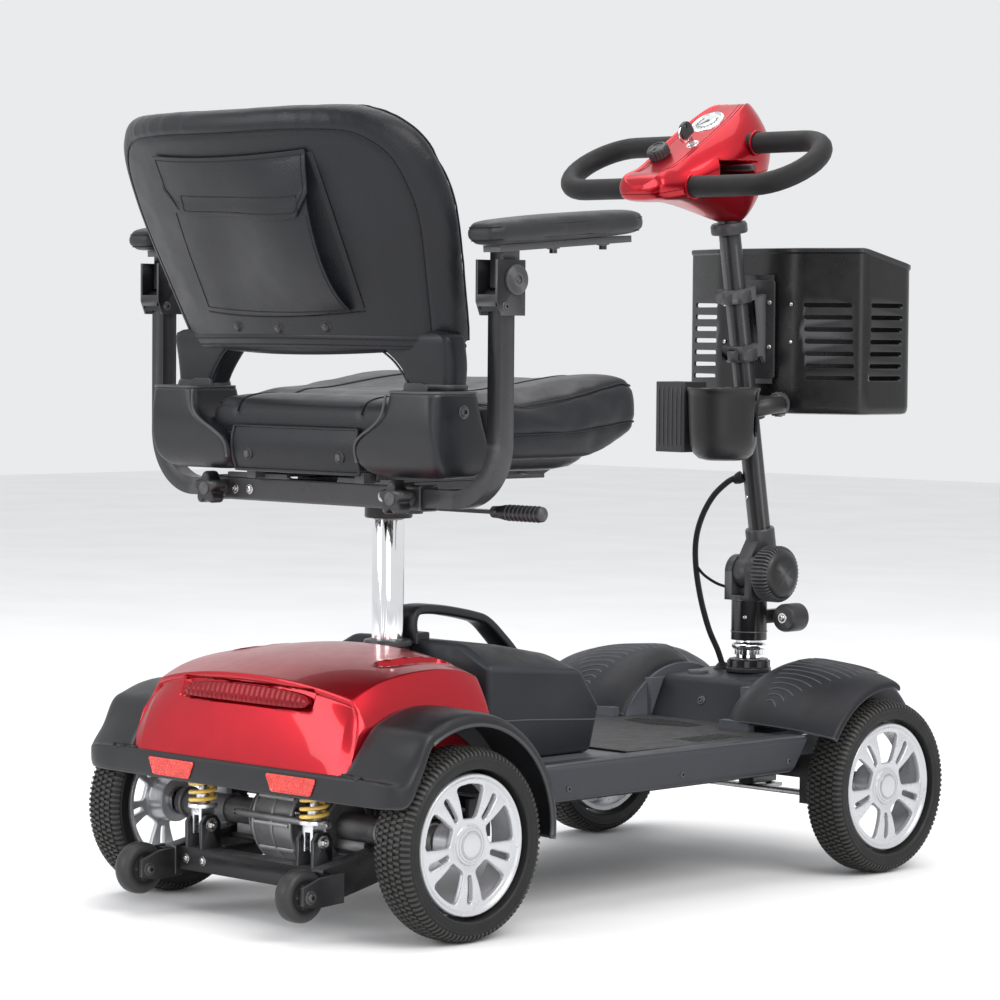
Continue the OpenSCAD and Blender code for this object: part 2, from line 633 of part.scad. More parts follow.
module antitip_wheel(left) color([0.10, 0.10, 0.11]) place()
    translate([left ? antitip_x : -antitip_x, antitip_y, antitip_z]) rotate([0, 90, 0])
        rotate_extrude() polygon([[4 + fit, -11.5], [14, -11.5], [14, -9], [22, -10], [26, -8], [antitip_r, -4],
            [antitip_r, 4], [26, 8], [22, 10], [14, 9], [14, 11.5], [4 + fit, 11.5]]);
module antitip_wheel_l() { antitip_wheel(true); }
module antitip_wheel_r() { antitip_wheel(false); }

// ---------- seat ----------

module seat_post() color([0.85, 0.85, 0.87]) place() rod_z(post_r, 0, post_y, [142, 434]);

module seat_frame() color([0.06, 0.06, 0.07]) place() {
    // swivel head over the post
    difference() {
        union() {
            rod_z(26, 0, post_y, [418, 446]);
            block([-70, 70], [post_y - 60, post_y + 62], [446, 452]);
        }
        rod_z(post_r + fit, 0, post_y, [400, 434 + gap]);
    }
    // crossbar, open at both ends for the armrest tubes
    difference() {
        block([-160, 160], [bar_y - 12.5, bar_y + 12.5], [bar_z - 12.5, bar_z + 12.5]);
        both() block([60, 170], [bar_y - tube / 2 - fit, bar_y + tube / 2 + fit],
            [bar_z - tube / 2 - fit, bar_z + tube / 2 + fit]);
        both() rod_y(4 + fit, knob_x, [bar_y, bar_y + 20], bar_z);
    }
    both() {
        block([56, 70], [post_y + 58, bar_y - 12.5], [440, 452]);
        block([78, 92], [-290, 10], [461, 473]);
        block([78, 92], [bar_y - 12, bar_y + 12], [460, 462]);
        block([66, 92], [post_y - 50, post_y + 50], [452, 461]);
        block([60, 70], [post_y - 50, post_y + 50], [446, 461]);
        side_plate([100, 112], [[-262, 488], [-262, 474], [-240, 466], [-214, 466], [-214, 488]]);
    }
    // seat pan under the cushion
    plan_plate([473, 488], [[-190, -300], [190, -300], [192, -66], [140, -50], [140, 10], [-140, 10], [-140, -50],
        [-192, -66]]);
    both() block([140, 222], [-46, 8], [468, 472.8]);
    both() block([120, 141], [-46, 8], [468, 473.5]);
    rod_z(3 - fit, -38, post_y, [421, 447]);
}

module seat_lever() color([0.07, 0.07, 0.08]) place() {
    difference() {
        union() {
            block([-170, -30], [post_y - 8, post_y + 8], [429, 433]);
            rod_z(11, -38, post_y, [424, 434]);
        }
        rod_z(3, -38, post_y, [420, 440]);
    }
    rod_x(8, [-232, -165], post_y, 431);
}

module seat_cushion() color([0.12, 0.12, 0.14]) place() difference() {
    union() {
        plan_plate([488.2, 548], concat([[-196, -64], [-206, -90], [-206, -262]],
            arc([0, 120], 460, 243.4, 296.6, 16), [[206, -262], [206, -90], [196, -64], [142, -52], [140, 20], [-140, 20],
            [-142, -52]]));
        hull() {
            side_plate([-200, 200], [[-268, 547], [-262, 562], [-200, 562], [-90, 550], [-90, 547]]);
            side_plate([-120, 120], [[-328, 547], [-318, 564], [-240, 560], [-90, 548], [-90, 547]]);
        }
    }
    side_plate([-220, 220], [[-360, 480], [-360, 512], [-300, 488]]);
}

module hinge_covers() color([0.13, 0.13, 0.15]) place() both() difference() {
    union() {
        side_plate([148, 223], [[-44, 474], [-24, 473], [20, 478], [35, 505], [36, 556], [-30, 556], [-46, 520]]);
    }
    side_plate([155, 217], [[-60, 506], [0, 506], [18, 520], [24, 560], [-60, 560]]);
}

module back_frame_at() { translate([0, 38, 606]) rotate([-recline, 0, 0]) children(); }
// outline of the backrest, x across and y up the back
function back_half() = [[216, -2], [227, 50], [239, 118], [237, 170], [226, 208], [201, 236], [165, 252], [90, 262], [0, 264]];
back_outline = concat(back_half(), [for (i = [len(back_half()) - 2:-1:0]) [-back_half()[i][0], back_half()[i][1]]]);
// wall of the wrapped back between two radii, cut to an outline
module back_wall(r_in, r_out, points) {
    intersection() {
        translate([0, -back_curve_r - 10, -120]) difference() {
            cylinder(r = r_out, h = 420, $fn = 180);
            translate([0, 0, -1]) cylinder(r = r_in, h = 422, $fn = 180);
        }
        translate([0, 60, 0]) rotate([90, 0, 0]) linear_extrude(240) polygon(points);
    }
}
module back_shell() color([0.11, 0.11, 0.13]) place() {
    difference() {
        union() {
            back_frame_at() {
                back_wall(back_curve_r, back_curve_r + 10, back_outline);
                both() back_wall(back_curve_r, back_curve_r + 10, [[158, -58], [158, 2], [214, 2], [214, -58]]);
            }
            both() side_plate([160, 212], [[-16, 580], [0, 574], [6, 545], [4, 528], [-18, 526], [-26, 540], [-24, 562]]);
        }
        both() rod_x(4 + fit, [140, 230], hinge_y, hinge_z);
    }
}
module back_cushion() color([0.13, 0.13, 0.15]) place() back_frame_at()
    back_wall(back_curve_r - 36, back_curve_r - 0.2, concat([for (p = back_half()) p - [2, p[1] > 100 ? 2 : -3]],
        [for (i = [len(back_half()) - 2:-1:0]) let (p = back_half()[i]) [2 - p[0], p[1] - (p[1] > 100 ? 2 : -3)]]));

// ---------- armrests ----------

bend_r = 60;
module armrest_tube(left) color([0.06, 0.06, 0.07]) place() flip(left) {
    block([96, armrest_x - bend_r], [bar_y - tube / 2, bar_y + tube / 2], [bar_z - tube / 2, bar_z + tube / 2]);
    translate([armrest_x - bend_r, bar_y, bar_z + bend_r]) rotate([90, 0, 0]) rotate([0, 0, -90])
        rotate_extrude(angle = 90) translate([bend_r, 0]) square(tube, center = true);
    block([armrest_x - tube / 2, armrest_x + tube / 2], [bar_y - tube / 2, bar_y + tube / 2], [bar_z + bend_r, 652]);
    // bracket at the top, with the pivot bolt
    difference() {
        union() {
            for (x = [-15.5, 12.5]) side_plate([armrest_x + x, armrest_x + x + 3], [[-38, 636], [-4, 636], [2, 650],
                [2, 692], [-38, 692]]);
            block([armrest_x - 13, armrest_x + 13], [-7, 2], [645, 657]);
            block([armrest_x - 13, armrest_x + 13], [-38, -2], [640, 652]);
        }
    }
    rod_x(5, [armrest_x - 18, armrest_x + 18], arm_pivot_y, arm_pivot_z);
}
module armrest_tube_l() { armrest_tube(true); }
module armrest_tube_r() { armrest_tube(false); }

arm_lean = 4.3;
module on_arm() { translate([armrest_x + 2.5, 26, 716]) rotate([-arm_lean, 0, 0]) children(); }
module armrest_bar(left) color([0.06, 0.06, 0.07]) place() flip(left) {
    difference() {
        union() {
            side_plate([armrest_x - 9, armrest_x + 9], [[-36, 664], [-12, 664], [-12, 706.7], [-36, 708.5]]);
            rod_x(12, [armrest_x - 9, armrest_x + 9], arm_pivot_y, arm_pivot_z);
        }
        rod_x(5 + fit, [armrest_x - 20, armrest_x + 20], arm_pivot_y, arm_pivot_z);
    }
    on_arm() translate([-2.5, 0, 0]) block([-12, 12], [-224, -30], [-19, -12.1]);
    for (y = [-94, -168]) rod_z(4, armrest_x, y, [700 - (y + 94) * 0.075, 706 - (y + 94) * 0.075]);
}
module armrest_bar_l() { armrest_bar(true); }
module armrest_bar_r() { armrest_bar(false); }
module armrest_pad(left) color([0.13, 0.13, 0.15]) place() flip(left) on_arm() translate([0, 0, -12]) hull() {
    for (y = [-226, -20], x = [-1, 1]) translate([x * (23 - 12), y, 12]) cylinder(r = 12, h = 16, $fn = 32);
    for (y = [-226, -20], x = [-1, 1]) translate([x * (23 - 12), y, 0]) cylinder(r = 9, h = 26, $fn = 32);
}
module armrest_pad_l() { armrest_pad(true); }
module armrest_pad_r() { armrest_pad(false); }

module armrest_knob(left) color([0.07, 0.07, 0.08]) place() flip(left) {
    rod_y(4, knob_x, [bar_y + tube / 2 + gap, 8], bar_z);
    rod_y(9, knob_x, [bar_y + 12.5 + gap, 4], bar_z);
    for (k = [0:4]) translate([knob_x, 0, bar_z]) rotate([0, 72 * k, 0]) rod_y(6.5, 12, [4, 22], 0);
    rod_y(13, knob_x, [3, 22], bar_z);
}
module armrest_knob_l() { armrest_knob(true); }
module armrest_knob_r() { armrest_knob(false); }

// ---------- drawing ----------

frame();
deck();
front_shroud();
steering_box();
deck_mat();
rear_cover();
rear_fenders();
tail_lamp();
reflectors();
battery_case();
battery_handle();
steering_column();
steering_bearing();
lock_lever();
fold_knob();
tiller_tube();
head_upper();
head_lower();
handle_loop();
throttle_lever();
gauge();
speed_dial();
key();
basket_bracket();
basket();
cup_bracket();
cup_holder();
tiller_cable();
tie_rod();
knuckle_l();
knuckle_r();
tyre_fl();
tyre_fr();
tyre_rl();
tyre_rr();
rim_fl();
rim_fr();
rim_rl();
rim_rr();
swing_frame();
transaxle();
springs();
shock_clevises();
antitip_wheel_l();
antitip_wheel_r();
seat_post();
seat_frame();
seat_lever();
seat_cushion();
hinge_covers();
back_shell();
back_cushion();
armrest_tube_l();
armrest_tube_r();
armrest_bar_l();
armrest_bar_r();
armrest_pad_l();
armrest_pad_r();
armrest_knob_l();
armrest_knob_r();
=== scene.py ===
import json
import math

import bmesh
import bpy
import numpy as np
from mathutils import Matrix, Vector
from mathutils.bvhtree import BVHTree
from mathutils.kdtree import KDTree


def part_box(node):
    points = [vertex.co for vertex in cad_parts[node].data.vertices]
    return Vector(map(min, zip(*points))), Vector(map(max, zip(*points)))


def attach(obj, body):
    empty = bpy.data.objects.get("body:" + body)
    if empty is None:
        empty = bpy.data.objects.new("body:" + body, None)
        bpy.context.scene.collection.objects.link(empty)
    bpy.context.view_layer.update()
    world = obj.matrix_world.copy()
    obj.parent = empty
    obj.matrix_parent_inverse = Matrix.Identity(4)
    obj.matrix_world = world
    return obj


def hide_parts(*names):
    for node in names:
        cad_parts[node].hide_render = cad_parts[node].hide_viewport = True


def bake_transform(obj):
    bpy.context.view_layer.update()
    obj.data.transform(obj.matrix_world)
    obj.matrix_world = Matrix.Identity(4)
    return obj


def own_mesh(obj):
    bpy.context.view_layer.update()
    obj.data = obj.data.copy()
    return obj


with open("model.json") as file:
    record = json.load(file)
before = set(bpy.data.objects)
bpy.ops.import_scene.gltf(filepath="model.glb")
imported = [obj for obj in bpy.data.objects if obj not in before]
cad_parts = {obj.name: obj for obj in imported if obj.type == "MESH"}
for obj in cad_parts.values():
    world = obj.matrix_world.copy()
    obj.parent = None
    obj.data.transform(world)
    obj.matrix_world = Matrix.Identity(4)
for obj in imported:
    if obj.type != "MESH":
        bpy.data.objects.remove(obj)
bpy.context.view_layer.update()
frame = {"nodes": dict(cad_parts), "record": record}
nodes = frame["nodes"]
scene = bpy.context.scene

# All shapes below are written in millimetres, with y counted from the rear axle.
AXLE_Y = (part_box("tyre_rl")[0].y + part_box("tyre_rl")[1].y) * 500


def metres(points):
    v = np.asarray(points, float).reshape(-1, 3).copy()
    v[:, 1] += AXLE_Y
    return v / 1000


def sind(a):
    return math.sin(math.radians(a))


def cosd(a):
    return math.cos(math.radians(a))


# ---------- camera, floor and light ----------

YAW, PITCH, ROLL = 44.7165, 2.7757, 0.4713


def make_camera():
    ahead = Vector((sind(YAW) * cosd(PITCH), -cosd(YAW) * cosd(PITCH), -sind(PITCH)))
    right = Vector((-cosd(YAW), -sind(YAW), 0))
    up = right.cross(ahead)
    x_axis = right * cosd(ROLL) + up * sind(ROLL)
    y_axis = up * cosd(ROLL) - right * sind(ROLL)
    turn = Matrix((x_axis, y_axis, -ahead)).transposed().to_4x4()
    camera = bpy.data.objects.new("camera", bpy.data.cameras.new("camera"))
    camera.data.lens = 125.86
    camera.data.sensor_width = 36
    camera.data.clip_end = 100
    camera.matrix_world = Matrix.Translation((-2.7405, 2.4818 + AXLE_Y / 1000, 0.621)) @ turn
    scene.collection.objects.link(camera)
    scene.camera = camera


def area_light(name, place, target, size, power, tint=(1, 1, 1)):
    data = bpy.data.lights.new(name, "AREA")
    data.shape = "RECTANGLE"
    data.size, data.size_y = size
    data.energy = power
    data.color = tint
    light = bpy.data.objects.new(name, data)
    light.location = place
    light.rotation_euler = (Vector(target) - Vector(place)).to_track_quat("-Z", "Y").to_euler()
    scene.collection.objects.link(light)


make_camera()

# ---------- materials ----------


def node_tree(name):
    material = bpy.data.materials.new(name)
    material.use_nodes = True
    tree = material.node_tree
    return material, tree, tree.nodes["Principled BSDF"]


def add_node(tree, kind, **values):
    n = tree.nodes.new(kind)
    for key, value in values.items():
        if hasattr(n, key):
            setattr(n, key, value)
        else:
            n.inputs[key.replace("_", " ")].default_value = value
    return n


def ramp(tree, fac, stops):
    n = tree.nodes.new("ShaderNodeValToRGB")
    while len(n.color_ramp.elements) < len(stops):
        n.color_ramp.elements.new(0.5)
    for e, (at, c) in zip(n.color_ramp.elements, stops):
        e.position = at
        e.color = (*c, 1) if len(c) == 3 else c
    tree.links.new(fac, n.inputs[0])
    return n.outputs[0]


def noise(tree, coords, scale, detail=3, rough=0.55):
    n = add_node(tree, "ShaderNodeTexNoise", Scale=scale, Detail=detail, Roughness=rough)
    tree.links.new(coords, n.inputs["Vector"])
    return n.outputs["Fac"]


def map_range(tree, value, lo, hi, to_lo, to_hi):
    n = tree.nodes.new("ShaderNodeMapRange")
    tree.links.new(value, n.inputs[0])
    for i, v in zip((1, 2, 3, 4), (lo, hi, to_lo, to_hi)):
        n.inputs[i].default_value = v
    return n.outputs[0]


def maths(tree, kind, a, b):
    n = add_node(tree, "ShaderNodeMath", operation=kind)
    for i, v in enumerate((a, b)):
        if isinstance(v, (int, float)):
            n.inputs[i].default_value = v
        else:
            tree.links.new(v, n.inputs[i])
    return n.outputs[0]


def tone(color, k):
    return tuple(min(1, c * k) for c in color)


def finish_of(name, color, rough=0.45, spread=0.1, metal=0.0, grain=None, grain_depth=0.1, mottle=(0.82, 1.15),
              mottle_scale=14, coat=0.0, coat_rough=0.05, edge=None, sheen=0.0, gloss=0.5, flakes=None, dust=0.0):
    """A procedural finish. grain is (kind, scale in cells a metre); edge lightens worn edges; flakes add metal glitter."""
    material, tree, shader = node_tree(name)
    link = tree.links.new
    coords = tree.nodes.new("ShaderNodeTexCoord").outputs["Object"]
    big = noise(tree, coords, mottle_scale, 4)
    out = ramp(tree, big, [(0.3, tone(color, mottle[0])), (0.7, tone(color, mottle[1]))])
    if flakes:
        fleck = noise(tree, coords, flakes[0], 2, 0.7)
        spot = ramp(tree, fleck, [(0.35, tone(color, 0.78)), (0.72, tone(color, flakes[1]))])
        n = add_node(tree, "ShaderNodeMix", data_type="RGBA")
        n.inputs[0].default_value = 0.5
        link(out, n.inputs[6])
        link(spot, n.inputs[7])
        out = n.outputs[2]
    if edge:
        point = tree.nodes.new("ShaderNodeNewGeometry").outputs["Pointiness"]
        wear = map_range(tree, point, 0.52, 0.60, 0, edge[1])
        n = add_node(tree, "ShaderNodeMix", data_type="RGBA")
        link(wear, n.inputs[0])
        link(out, n.inputs[6])
        n.inputs[7].default_value = (*edge[0], 1)
        out = n.outputs[2]
    if dust:
        normal = tree.nodes.new("ShaderNodeNewGeometry").outputs["Normal"]
        up = tree.nodes.new("ShaderNodeSeparateXYZ")
        link(normal, up.inputs[0])
        speck = maths(tree, "MULTIPLY", map_range(tree, up.outputs[2], 0.2, 1, 0, dust), noise(tree, coords, 60, 5))
        n = add_node(tree, "ShaderNodeMix", data_type="RGBA")
        link(speck, n.inputs[0])
        link(out, n.inputs[6])
        n.inputs[7].default_value = (0.32, 0.31, 0.30, 1)
        out = n.outputs[2]
    link(out, shader.inputs["Base Color"])
    streak = noise(tree, coords, mottle_scale * 4, 5)
    link(map_range(tree, streak, 0.3, 0.7, max(0.02, rough - spread), rough + spread), shader.inputs["Roughness"])
    shader.inputs["Metallic"].default_value = metal
    shader.inputs["Specular IOR Level"].default_value = gloss
    shader.inputs["Coat Weight"].default_value = coat
    shader.inputs["Coat Roughness"].default_value = coat_rough
    shader.inputs["Sheen Weight"].default_value = sheen
    if grain:
        kind, scale = grain
        if kind == "leather":
            n = add_node(tree, "ShaderNodeTexVoronoi", feature="SMOOTH_F1", Scale=scale)
            wobble = add_node(tree, "ShaderNodeTexNoise", Scale=scale * 0.6, Detail=2.0)
            link(coords, wobble.inputs["Vector"])
            n2 = add_node(tree, "ShaderNodeVectorMath", operation="MULTIPLY_ADD")
            link(wobble.outputs["Color"], n2.inputs[0])
            n2.inputs[1].default_value = (1.4 / scale,) * 3
            link(coords, n2.inputs[2])
            link(n2.outputs[0], n.inputs["Vector"])
            height = maths(tree, "ADD", n.outputs["Distance"], maths(tree, "MULTIPLY", noise(tree, coords, 26, 3), 1.6))
        elif kind == "brushed":
            squeeze = add_node(tree, "ShaderNodeMapping")
            squeeze.inputs["Scale"].default_value = (0.04, 1, 1)
            link(coords, squeeze.inputs["Vector"])
            height = noise(tree, squeeze.outputs[0], scale, 4)
        elif kind == "ribs":
            n = add_node(tree, "ShaderNodeTexWave", Scale=scale, Distortion=0.0)
            link(coords, n.inputs["Vector"])
            height = n.outputs["Fac"]
        elif kind == "braid":
            n = add_node(tree, "ShaderNodeTexWave", Scale=scale, Distortion=2.0, bands_direction="DIAGONAL")
            link(coords, n.inputs["Vector"])
            height = n.outputs["Fac"]
        elif kind == "prism":
            n = add_node(tree, "ShaderNodeTexVoronoi", feature="F1", distance="MANHATTAN", Scale=scale, Randomness=0.0)
            link(coords, n.inputs["Vector"])
            height = n.outputs["Distance"]
        else:
            height = noise(tree, coords, scale, 3, 0.6)
        bump = add_node(tree, "ShaderNodeBump", Strength=min(1.0, grain_depth), Distance=0.6 / scale)
        link(height, bump.inputs["Height"])
        link(bump.outputs[0], shader.inputs["Normal"])
    return material


WORN = (0.16, 0.16, 0.17)
MAT = {
    "frame_paint": finish_of("frame_paint", (0.008, 0.008, 0.009), 0.32, 0.07, gloss=0.32, grain=("fine", 900), grain_depth=0.16,
                             edge=(WORN, 0.5), dust=0.05),
    "deck_plastic": finish_of("deck_plastic", (0.0105, 0.0112, 0.0145), 0.42, 0.07, gloss=0.2, grain=("leather", 900),
                              grain_depth=0.22, edge=((0.14, 0.15, 0.17), 0.6), dust=0.03),
    "fender_plastic": finish_of("fender_plastic", (0.0075, 0.008, 0.010), 0.38, 0.06, gloss=0.35, grain=("fine", 1100),
                                grain_depth=0.22, edge=(WORN, 0.5), dust=0.03),
    "mat_rubber": finish_of("mat_rubber", (0.009, 0.0095, 0.012), 0.50, 0.08, gloss=0.25, grain=("leather", 1300),
                            grain_depth=0.35, dust=0.14),
    "red_gloss": finish_of("red_gloss", (0.40, 0.003, 0.012), 0.33, 0.03, metal=0.8, coat=0.4, coat_rough=0.03,
                           mottle=(0.96, 1.04), flakes=(2600, 1.35)),
    "lamp_lens": finish_of("lamp_lens", (0.20, 0.003, 0.008), 0.24, 0.04, metal=0.3, gloss=0.25, grain=("ribs", 40),
                           grain_depth=0.12),
    "reflector": finish_of("reflector", (0.86, 0.045, 0.03), 0.20, 0.05, coat=0.8, mottle=(0.75, 1.2),
                           mottle_scale=120, grain=("prism", 260), grain_depth=1.0),
    "black_plastic": finish_of("black_plastic", (0.007, 0.007, 0.0078), 0.36, 0.08, gloss=0.35, grain=("fine", 1200),
                               grain_depth=0.25, edge=(WORN, 0.4), dust=0.05),
    "basket_plastic": finish_of("basket_plastic", (0.0075, 0.0075, 0.008), 0.30, 0.05, gloss=0.35, grain=("leather", 1500),
                                grain_depth=0.10, edge=(WORN, 0.4), dust=0.05),
    "foam_grip": finish_of("foam_grip", (0.009, 0.009, 0.010), 0.60, 0.07, gloss=0.22, grain=("fine", 1500), grain_depth=0.5,
                           sheen=0.04, mottle=(0.8, 1.25)),
    "gauge_bezel": finish_of("gauge_bezel", (0.80, 0.81, 0.83), 0.14, 0.04, metal=1.0, mottle=(0.92, 1.05)),
    "gauge_face": finish_of("gauge_face", (0.40, 0.44, 0.43), 0.32, 0.05, mottle=(0.9, 1.08), mottle_scale=60,
                            coat=0.6),
    "dial_marks": finish_of("dial_marks", (0.06, 0.07, 0.07), 0.4, 0.05),
    "cable_sheath": finish_of("cable_sheath", (0.012, 0.012, 0.013), 0.42, 0.1, gloss=0.3, grain=("braid", 420),
                              grain_depth=0.8),
    "steel": finish_of("steel", (0.42, 0.42, 0.43), 0.30, 0.08, metal=1.0, grain=("brushed", 700), grain_depth=0.15,
                       mottle=(0.8, 1.1), mottle_scale=40),
    "drive_alloy": finish_of("drive_alloy", (0.16, 0.16, 0.165), 0.48, 0.1, metal=0.65, grain=("fine", 700),
                             grain_depth=0.5, mottle=(0.7, 1.25), mottle_scale=30, edge=((0.5, 0.5, 0.5), 0.5)),
    "alloy": finish_of("alloy", (0.72, 0.73, 0.75), 0.28, 0.08, metal=1.0, grain=("fine", 900), grain_depth=0.2),
    "spring_paint": finish_of("spring_paint", (0.74, 0.44, 0.012), 0.28, 0.06, mottle=(0.85, 1.1), coat=0.6,
                              mottle_scale=80, edge=((0.9, 0.75, 0.4), 0.4)),
    "caster_rubber": finish_of("caster_rubber", (0.018, 0.018, 0.019), 0.42, 0.1, gloss=0.3, grain=("fine", 900),
                               grain_depth=0.3, edge=((0.08, 0.08, 0.08), 0.5)),
    "chrome": finish_of("chrome", (0.86, 0.86, 0.87), 0.07, 0.03, metal=1.0, mottle=(0.95, 1.03)),
    "vinyl": finish_of("vinyl", (0.0085, 0.009, 0.0115), 0.38, 0.06, gloss=0.24, grain=("leather", 620), grain_depth=0.20,
                       mottle=(0.85, 1.12), mottle_scale=9, sheen=0.05),
    "pad_vinyl": finish_of("pad_vinyl", (0.013, 0.0135, 0.015), 0.46, 0.06, gloss=0.28, grain=("leather", 760), grain_depth=0.25,
                           mottle=(0.88, 1.1), sheen=0.08),
    "thread": finish_of("thread", (0.006, 0.006, 0.007), 0.5, 0.1, gloss=0.3, grain=("braid", 2400), grain_depth=0.5),
    "piping": finish_of("piping", (0.010, 0.0105, 0.013), 0.34, 0.06, gloss=0.3, grain=("leather", 1100), grain_depth=0.15),
    "tyre": finish_of("tyre", (0.009, 0.009, 0.0095), 0.52, 0.1, gloss=0.28, grain=("fine", 700), grain_depth=0.3,
                      edge=((0.055, 0.053, 0.05), 0.6), dust=0.05),
    "rim_alloy": finish_of("rim_alloy", (0.50, 0.51, 0.53), 0.30, 0.05, metal=0.35, mottle=(0.94, 1.05),
                           coat=0.35, flakes=(2200, 1.1)),
    "bolt_steel": finish_of("bolt_steel", (0.62, 0.61, 0.60), 0.25, 0.08, metal=1.0, mottle=(0.7, 1.1),
                            mottle_scale=200),
    "black_bolt": finish_of("black_bolt", (0.02, 0.02, 0.021), 0.28, 0.08, metal=0.3, mottle_scale=200,
                            edge=((0.2, 0.2, 0.2), 0.5)),
}

# ---------- mesh kit ----------


class Part:
    """Vertices and faces of one piece, in millimetres."""

    def __init__(self):
        self.v, self.f = [], []

    def add(self, verts, faces, turn=None):
        n = len(self.v)
        for p in verts:
            self.v.append(tuple(turn @ Vector(p)) if turn is not None else tuple(p))
        self.f += [tuple(i + n for i in f) for f in faces]
        return self

    def grid(self, rows, wrap_u=False, wrap_v=False, caps=False, turn=None):
        """Rows of points joined into a surface; wrap_u joins each row's ends, wrap_v the first and last rows."""
        m, n = len(rows), len(rows[0])
        verts = [p for r in rows for p in r]
        faces = []
        for i in range(m if wrap_v else m - 1):
            for j in range(n if wrap_u else n - 1):
                a, b = i * n + j, i * n + (j + 1) % n
                c, d = ((i + 1) % m) * n + (j + 1) % n, ((i + 1) % m) * n + j
                faces.append((a, b, c, d))
        if caps:
            faces.append(tuple(range(n))[::-1])
            faces.append(tuple((m - 1) * n + j for j in range(n)))
        return self.add(verts, faces, turn)

    def tube(self, path, r, seg=12, closed=False, up=(0.2, 0.1, 1)):
        """A round rod along a path; r is one radius, one for each point, or (wide, high) for an oval."""
        p = np.asarray(path, float)
        n = len(p)
        if closed:
            t = np.roll(p, -1, 0) - np.roll(p, 1, 0)
        else:
            t = np.gradient(p, axis=0)
        t /= np.linalg.norm(t, axis=1)[:, None]
        u = np.cross(t[0], up)
        u /= np.linalg.norm(u)
        rows = []
        for i in range(n):
            u = u - t[i] * (u @ t[i])
            u /= np.linalg.norm(u)
            w = np.cross(t[i], u)
            rr = r[i] if isinstance(r, (list, np.ndarray)) else r
            a, b = rr if isinstance(rr, (tuple, list, np.ndarray)) else (rr, rr)
            rows.append([tuple(p[i] + a * math.cos(2 * math.pi * k / seg) * u + b * math.sin(2 * math.pi * k / seg) * w)
                         for k in range(seg)])
        return self.grid(rows, wrap_u=True, wrap_v=closed, caps=not closed)

    def lathe(self, profile, centre, axis="x", seg=64, closed=True, turn=None):
        """profile is (radius, along) points, turned about an axis through centre."""
        rows = []
        for k in range(seg):
            a = 2 * math.pi * k / seg
            row = []
            for r, h in profile:
                c, s = r * math.cos(a), r * math.sin(a)
                q = {"x": (h, c, s), "y": (c, h, s), "z": (c, s, h)}[axis]
                row.append(tuple(turn @ Vector(q)) if turn is not None else q)
            rows.append([(q[0] + centre[0], q[1] + centre[1], q[2] + centre[2]) for q in row])
        return self.grid(rows, wrap_u=closed, wrap_v=True)

    def prism(self, outline, lo, hi, axis="x", turn=None):
        """An outline pulled straight along an axis: (y, z) along x, (x, z) along y, (x, y) along z."""
        def at(p, h):
            return {"x": (h, p[0], p[1]), "y": (p[0], h, p[1]), "z": (p[0], p[1], h)}[axis]
        n = len(outline)
        verts = [at(p, lo) for p in outline] + [at(p, hi) for p in outline]
        faces = [tuple(range(n))[::-1], tuple(range(n, 2 * n))]
        faces += [(i, (i + 1) % n, n + (i + 1) % n, n + i) for i in range(n)]
        return self.add(verts, faces, turn)

    def box(self, x, y, z, turn=None):
        return self.prism([(x[0], y[0]), (x[1], y[0]), (x[1], y[1]), (x[0], y[1])], z[0], z[1], "z", turn)

    def mirrored(self):
        n = len(self.v)
        self.v += [(-x, y, z) for x, y, z in self.v]
        self.f += [tuple(i + n for i in f[::-1]) for f in self.f]
        return self


def smooth_curve(points, n, closed=False):
    """Catmull-Rom through the points, n steps a span."""
    p = [np.asarray(q, float) for q in points]
    out = []
    m = len(p)
    for i in range(m if closed else m - 1):
        if closed:
            a, b, c, d = p[i - 1], p[i], p[(i + 1) % m], p[(i + 2) % m]
        else:
            a, b, c, d = p[max(i - 1, 0)], p[i], p[i + 1], p[min(i + 2, m - 1)]
        for k in range(n):
            t = k / n
            out.append(0.5 * (2 * b + (c - a) * t + (2 * a - 5 * b + 4 * c - d) * t * t
                              + (3 * b - a - 3 * c + d) * t ** 3))
    if not closed:
        out.append(p[-1])
    return out


def round_corners(points, r, n=5):
    """A closed 2-D outline with its corners rounded."""
    out = []
    m = len(points)
    radii = r if isinstance(r, (list, tuple)) else [r] * m
    for i in range(m):
        a, b, c = (np.asarray(points[j % m], float) for j in (i - 1, i, i + 1))
        ab, cb = a - b, c - b
        la, lc = np.linalg.norm(ab), np.linalg.norm(cb)
        k = min(radii[i], la * 0.48, lc * 0.48)
        s, e = b + ab / la * k, b + cb / lc * k
        for j in range(n + 1):
            t = j / n
            out.append(tuple((1 - t) ** 2 * s + 2 * t * (1 - t) * b + t * t * e))
    return out


def to_object(name, part, material, smooth=35):
    mesh = bpy.data.meshes.new(name)
    mesh.from_pydata(metres(part.v).tolist(), [], part.f)
    bm = bmesh.new()
    bm.from_mesh(mesh)
    bmesh.ops.remove_doubles(bm, verts=bm.verts, dist=1e-6)
    bmesh.ops.recalc_face_normals(bm, faces=bm.faces)
    bm.to_mesh(mesh)
    bm.free()
    mesh.materials.append(MAT[material] if isinstance(material, str) else material)
    shade(mesh, smooth)
    o = bpy.data.objects.new(name, mesh)
    scene.collection.objects.link(o)
    return o


def shade(mesh, angle):
    mesh.polygons.foreach_set("use_smooth", [True] * len(mesh.polygons))
    mesh.set_sharp_from_angle(angle=math.radians(angle))


def bake(o):
    """Applies the modifiers."""
    bpy.context.view_layer.update()
    mesh = bpy.data.meshes.new_from_object(o.evaluated_get(bpy.context.evaluated_depsgraph_get()))
    o.modifiers.clear()
    o.data = mesh
    return o


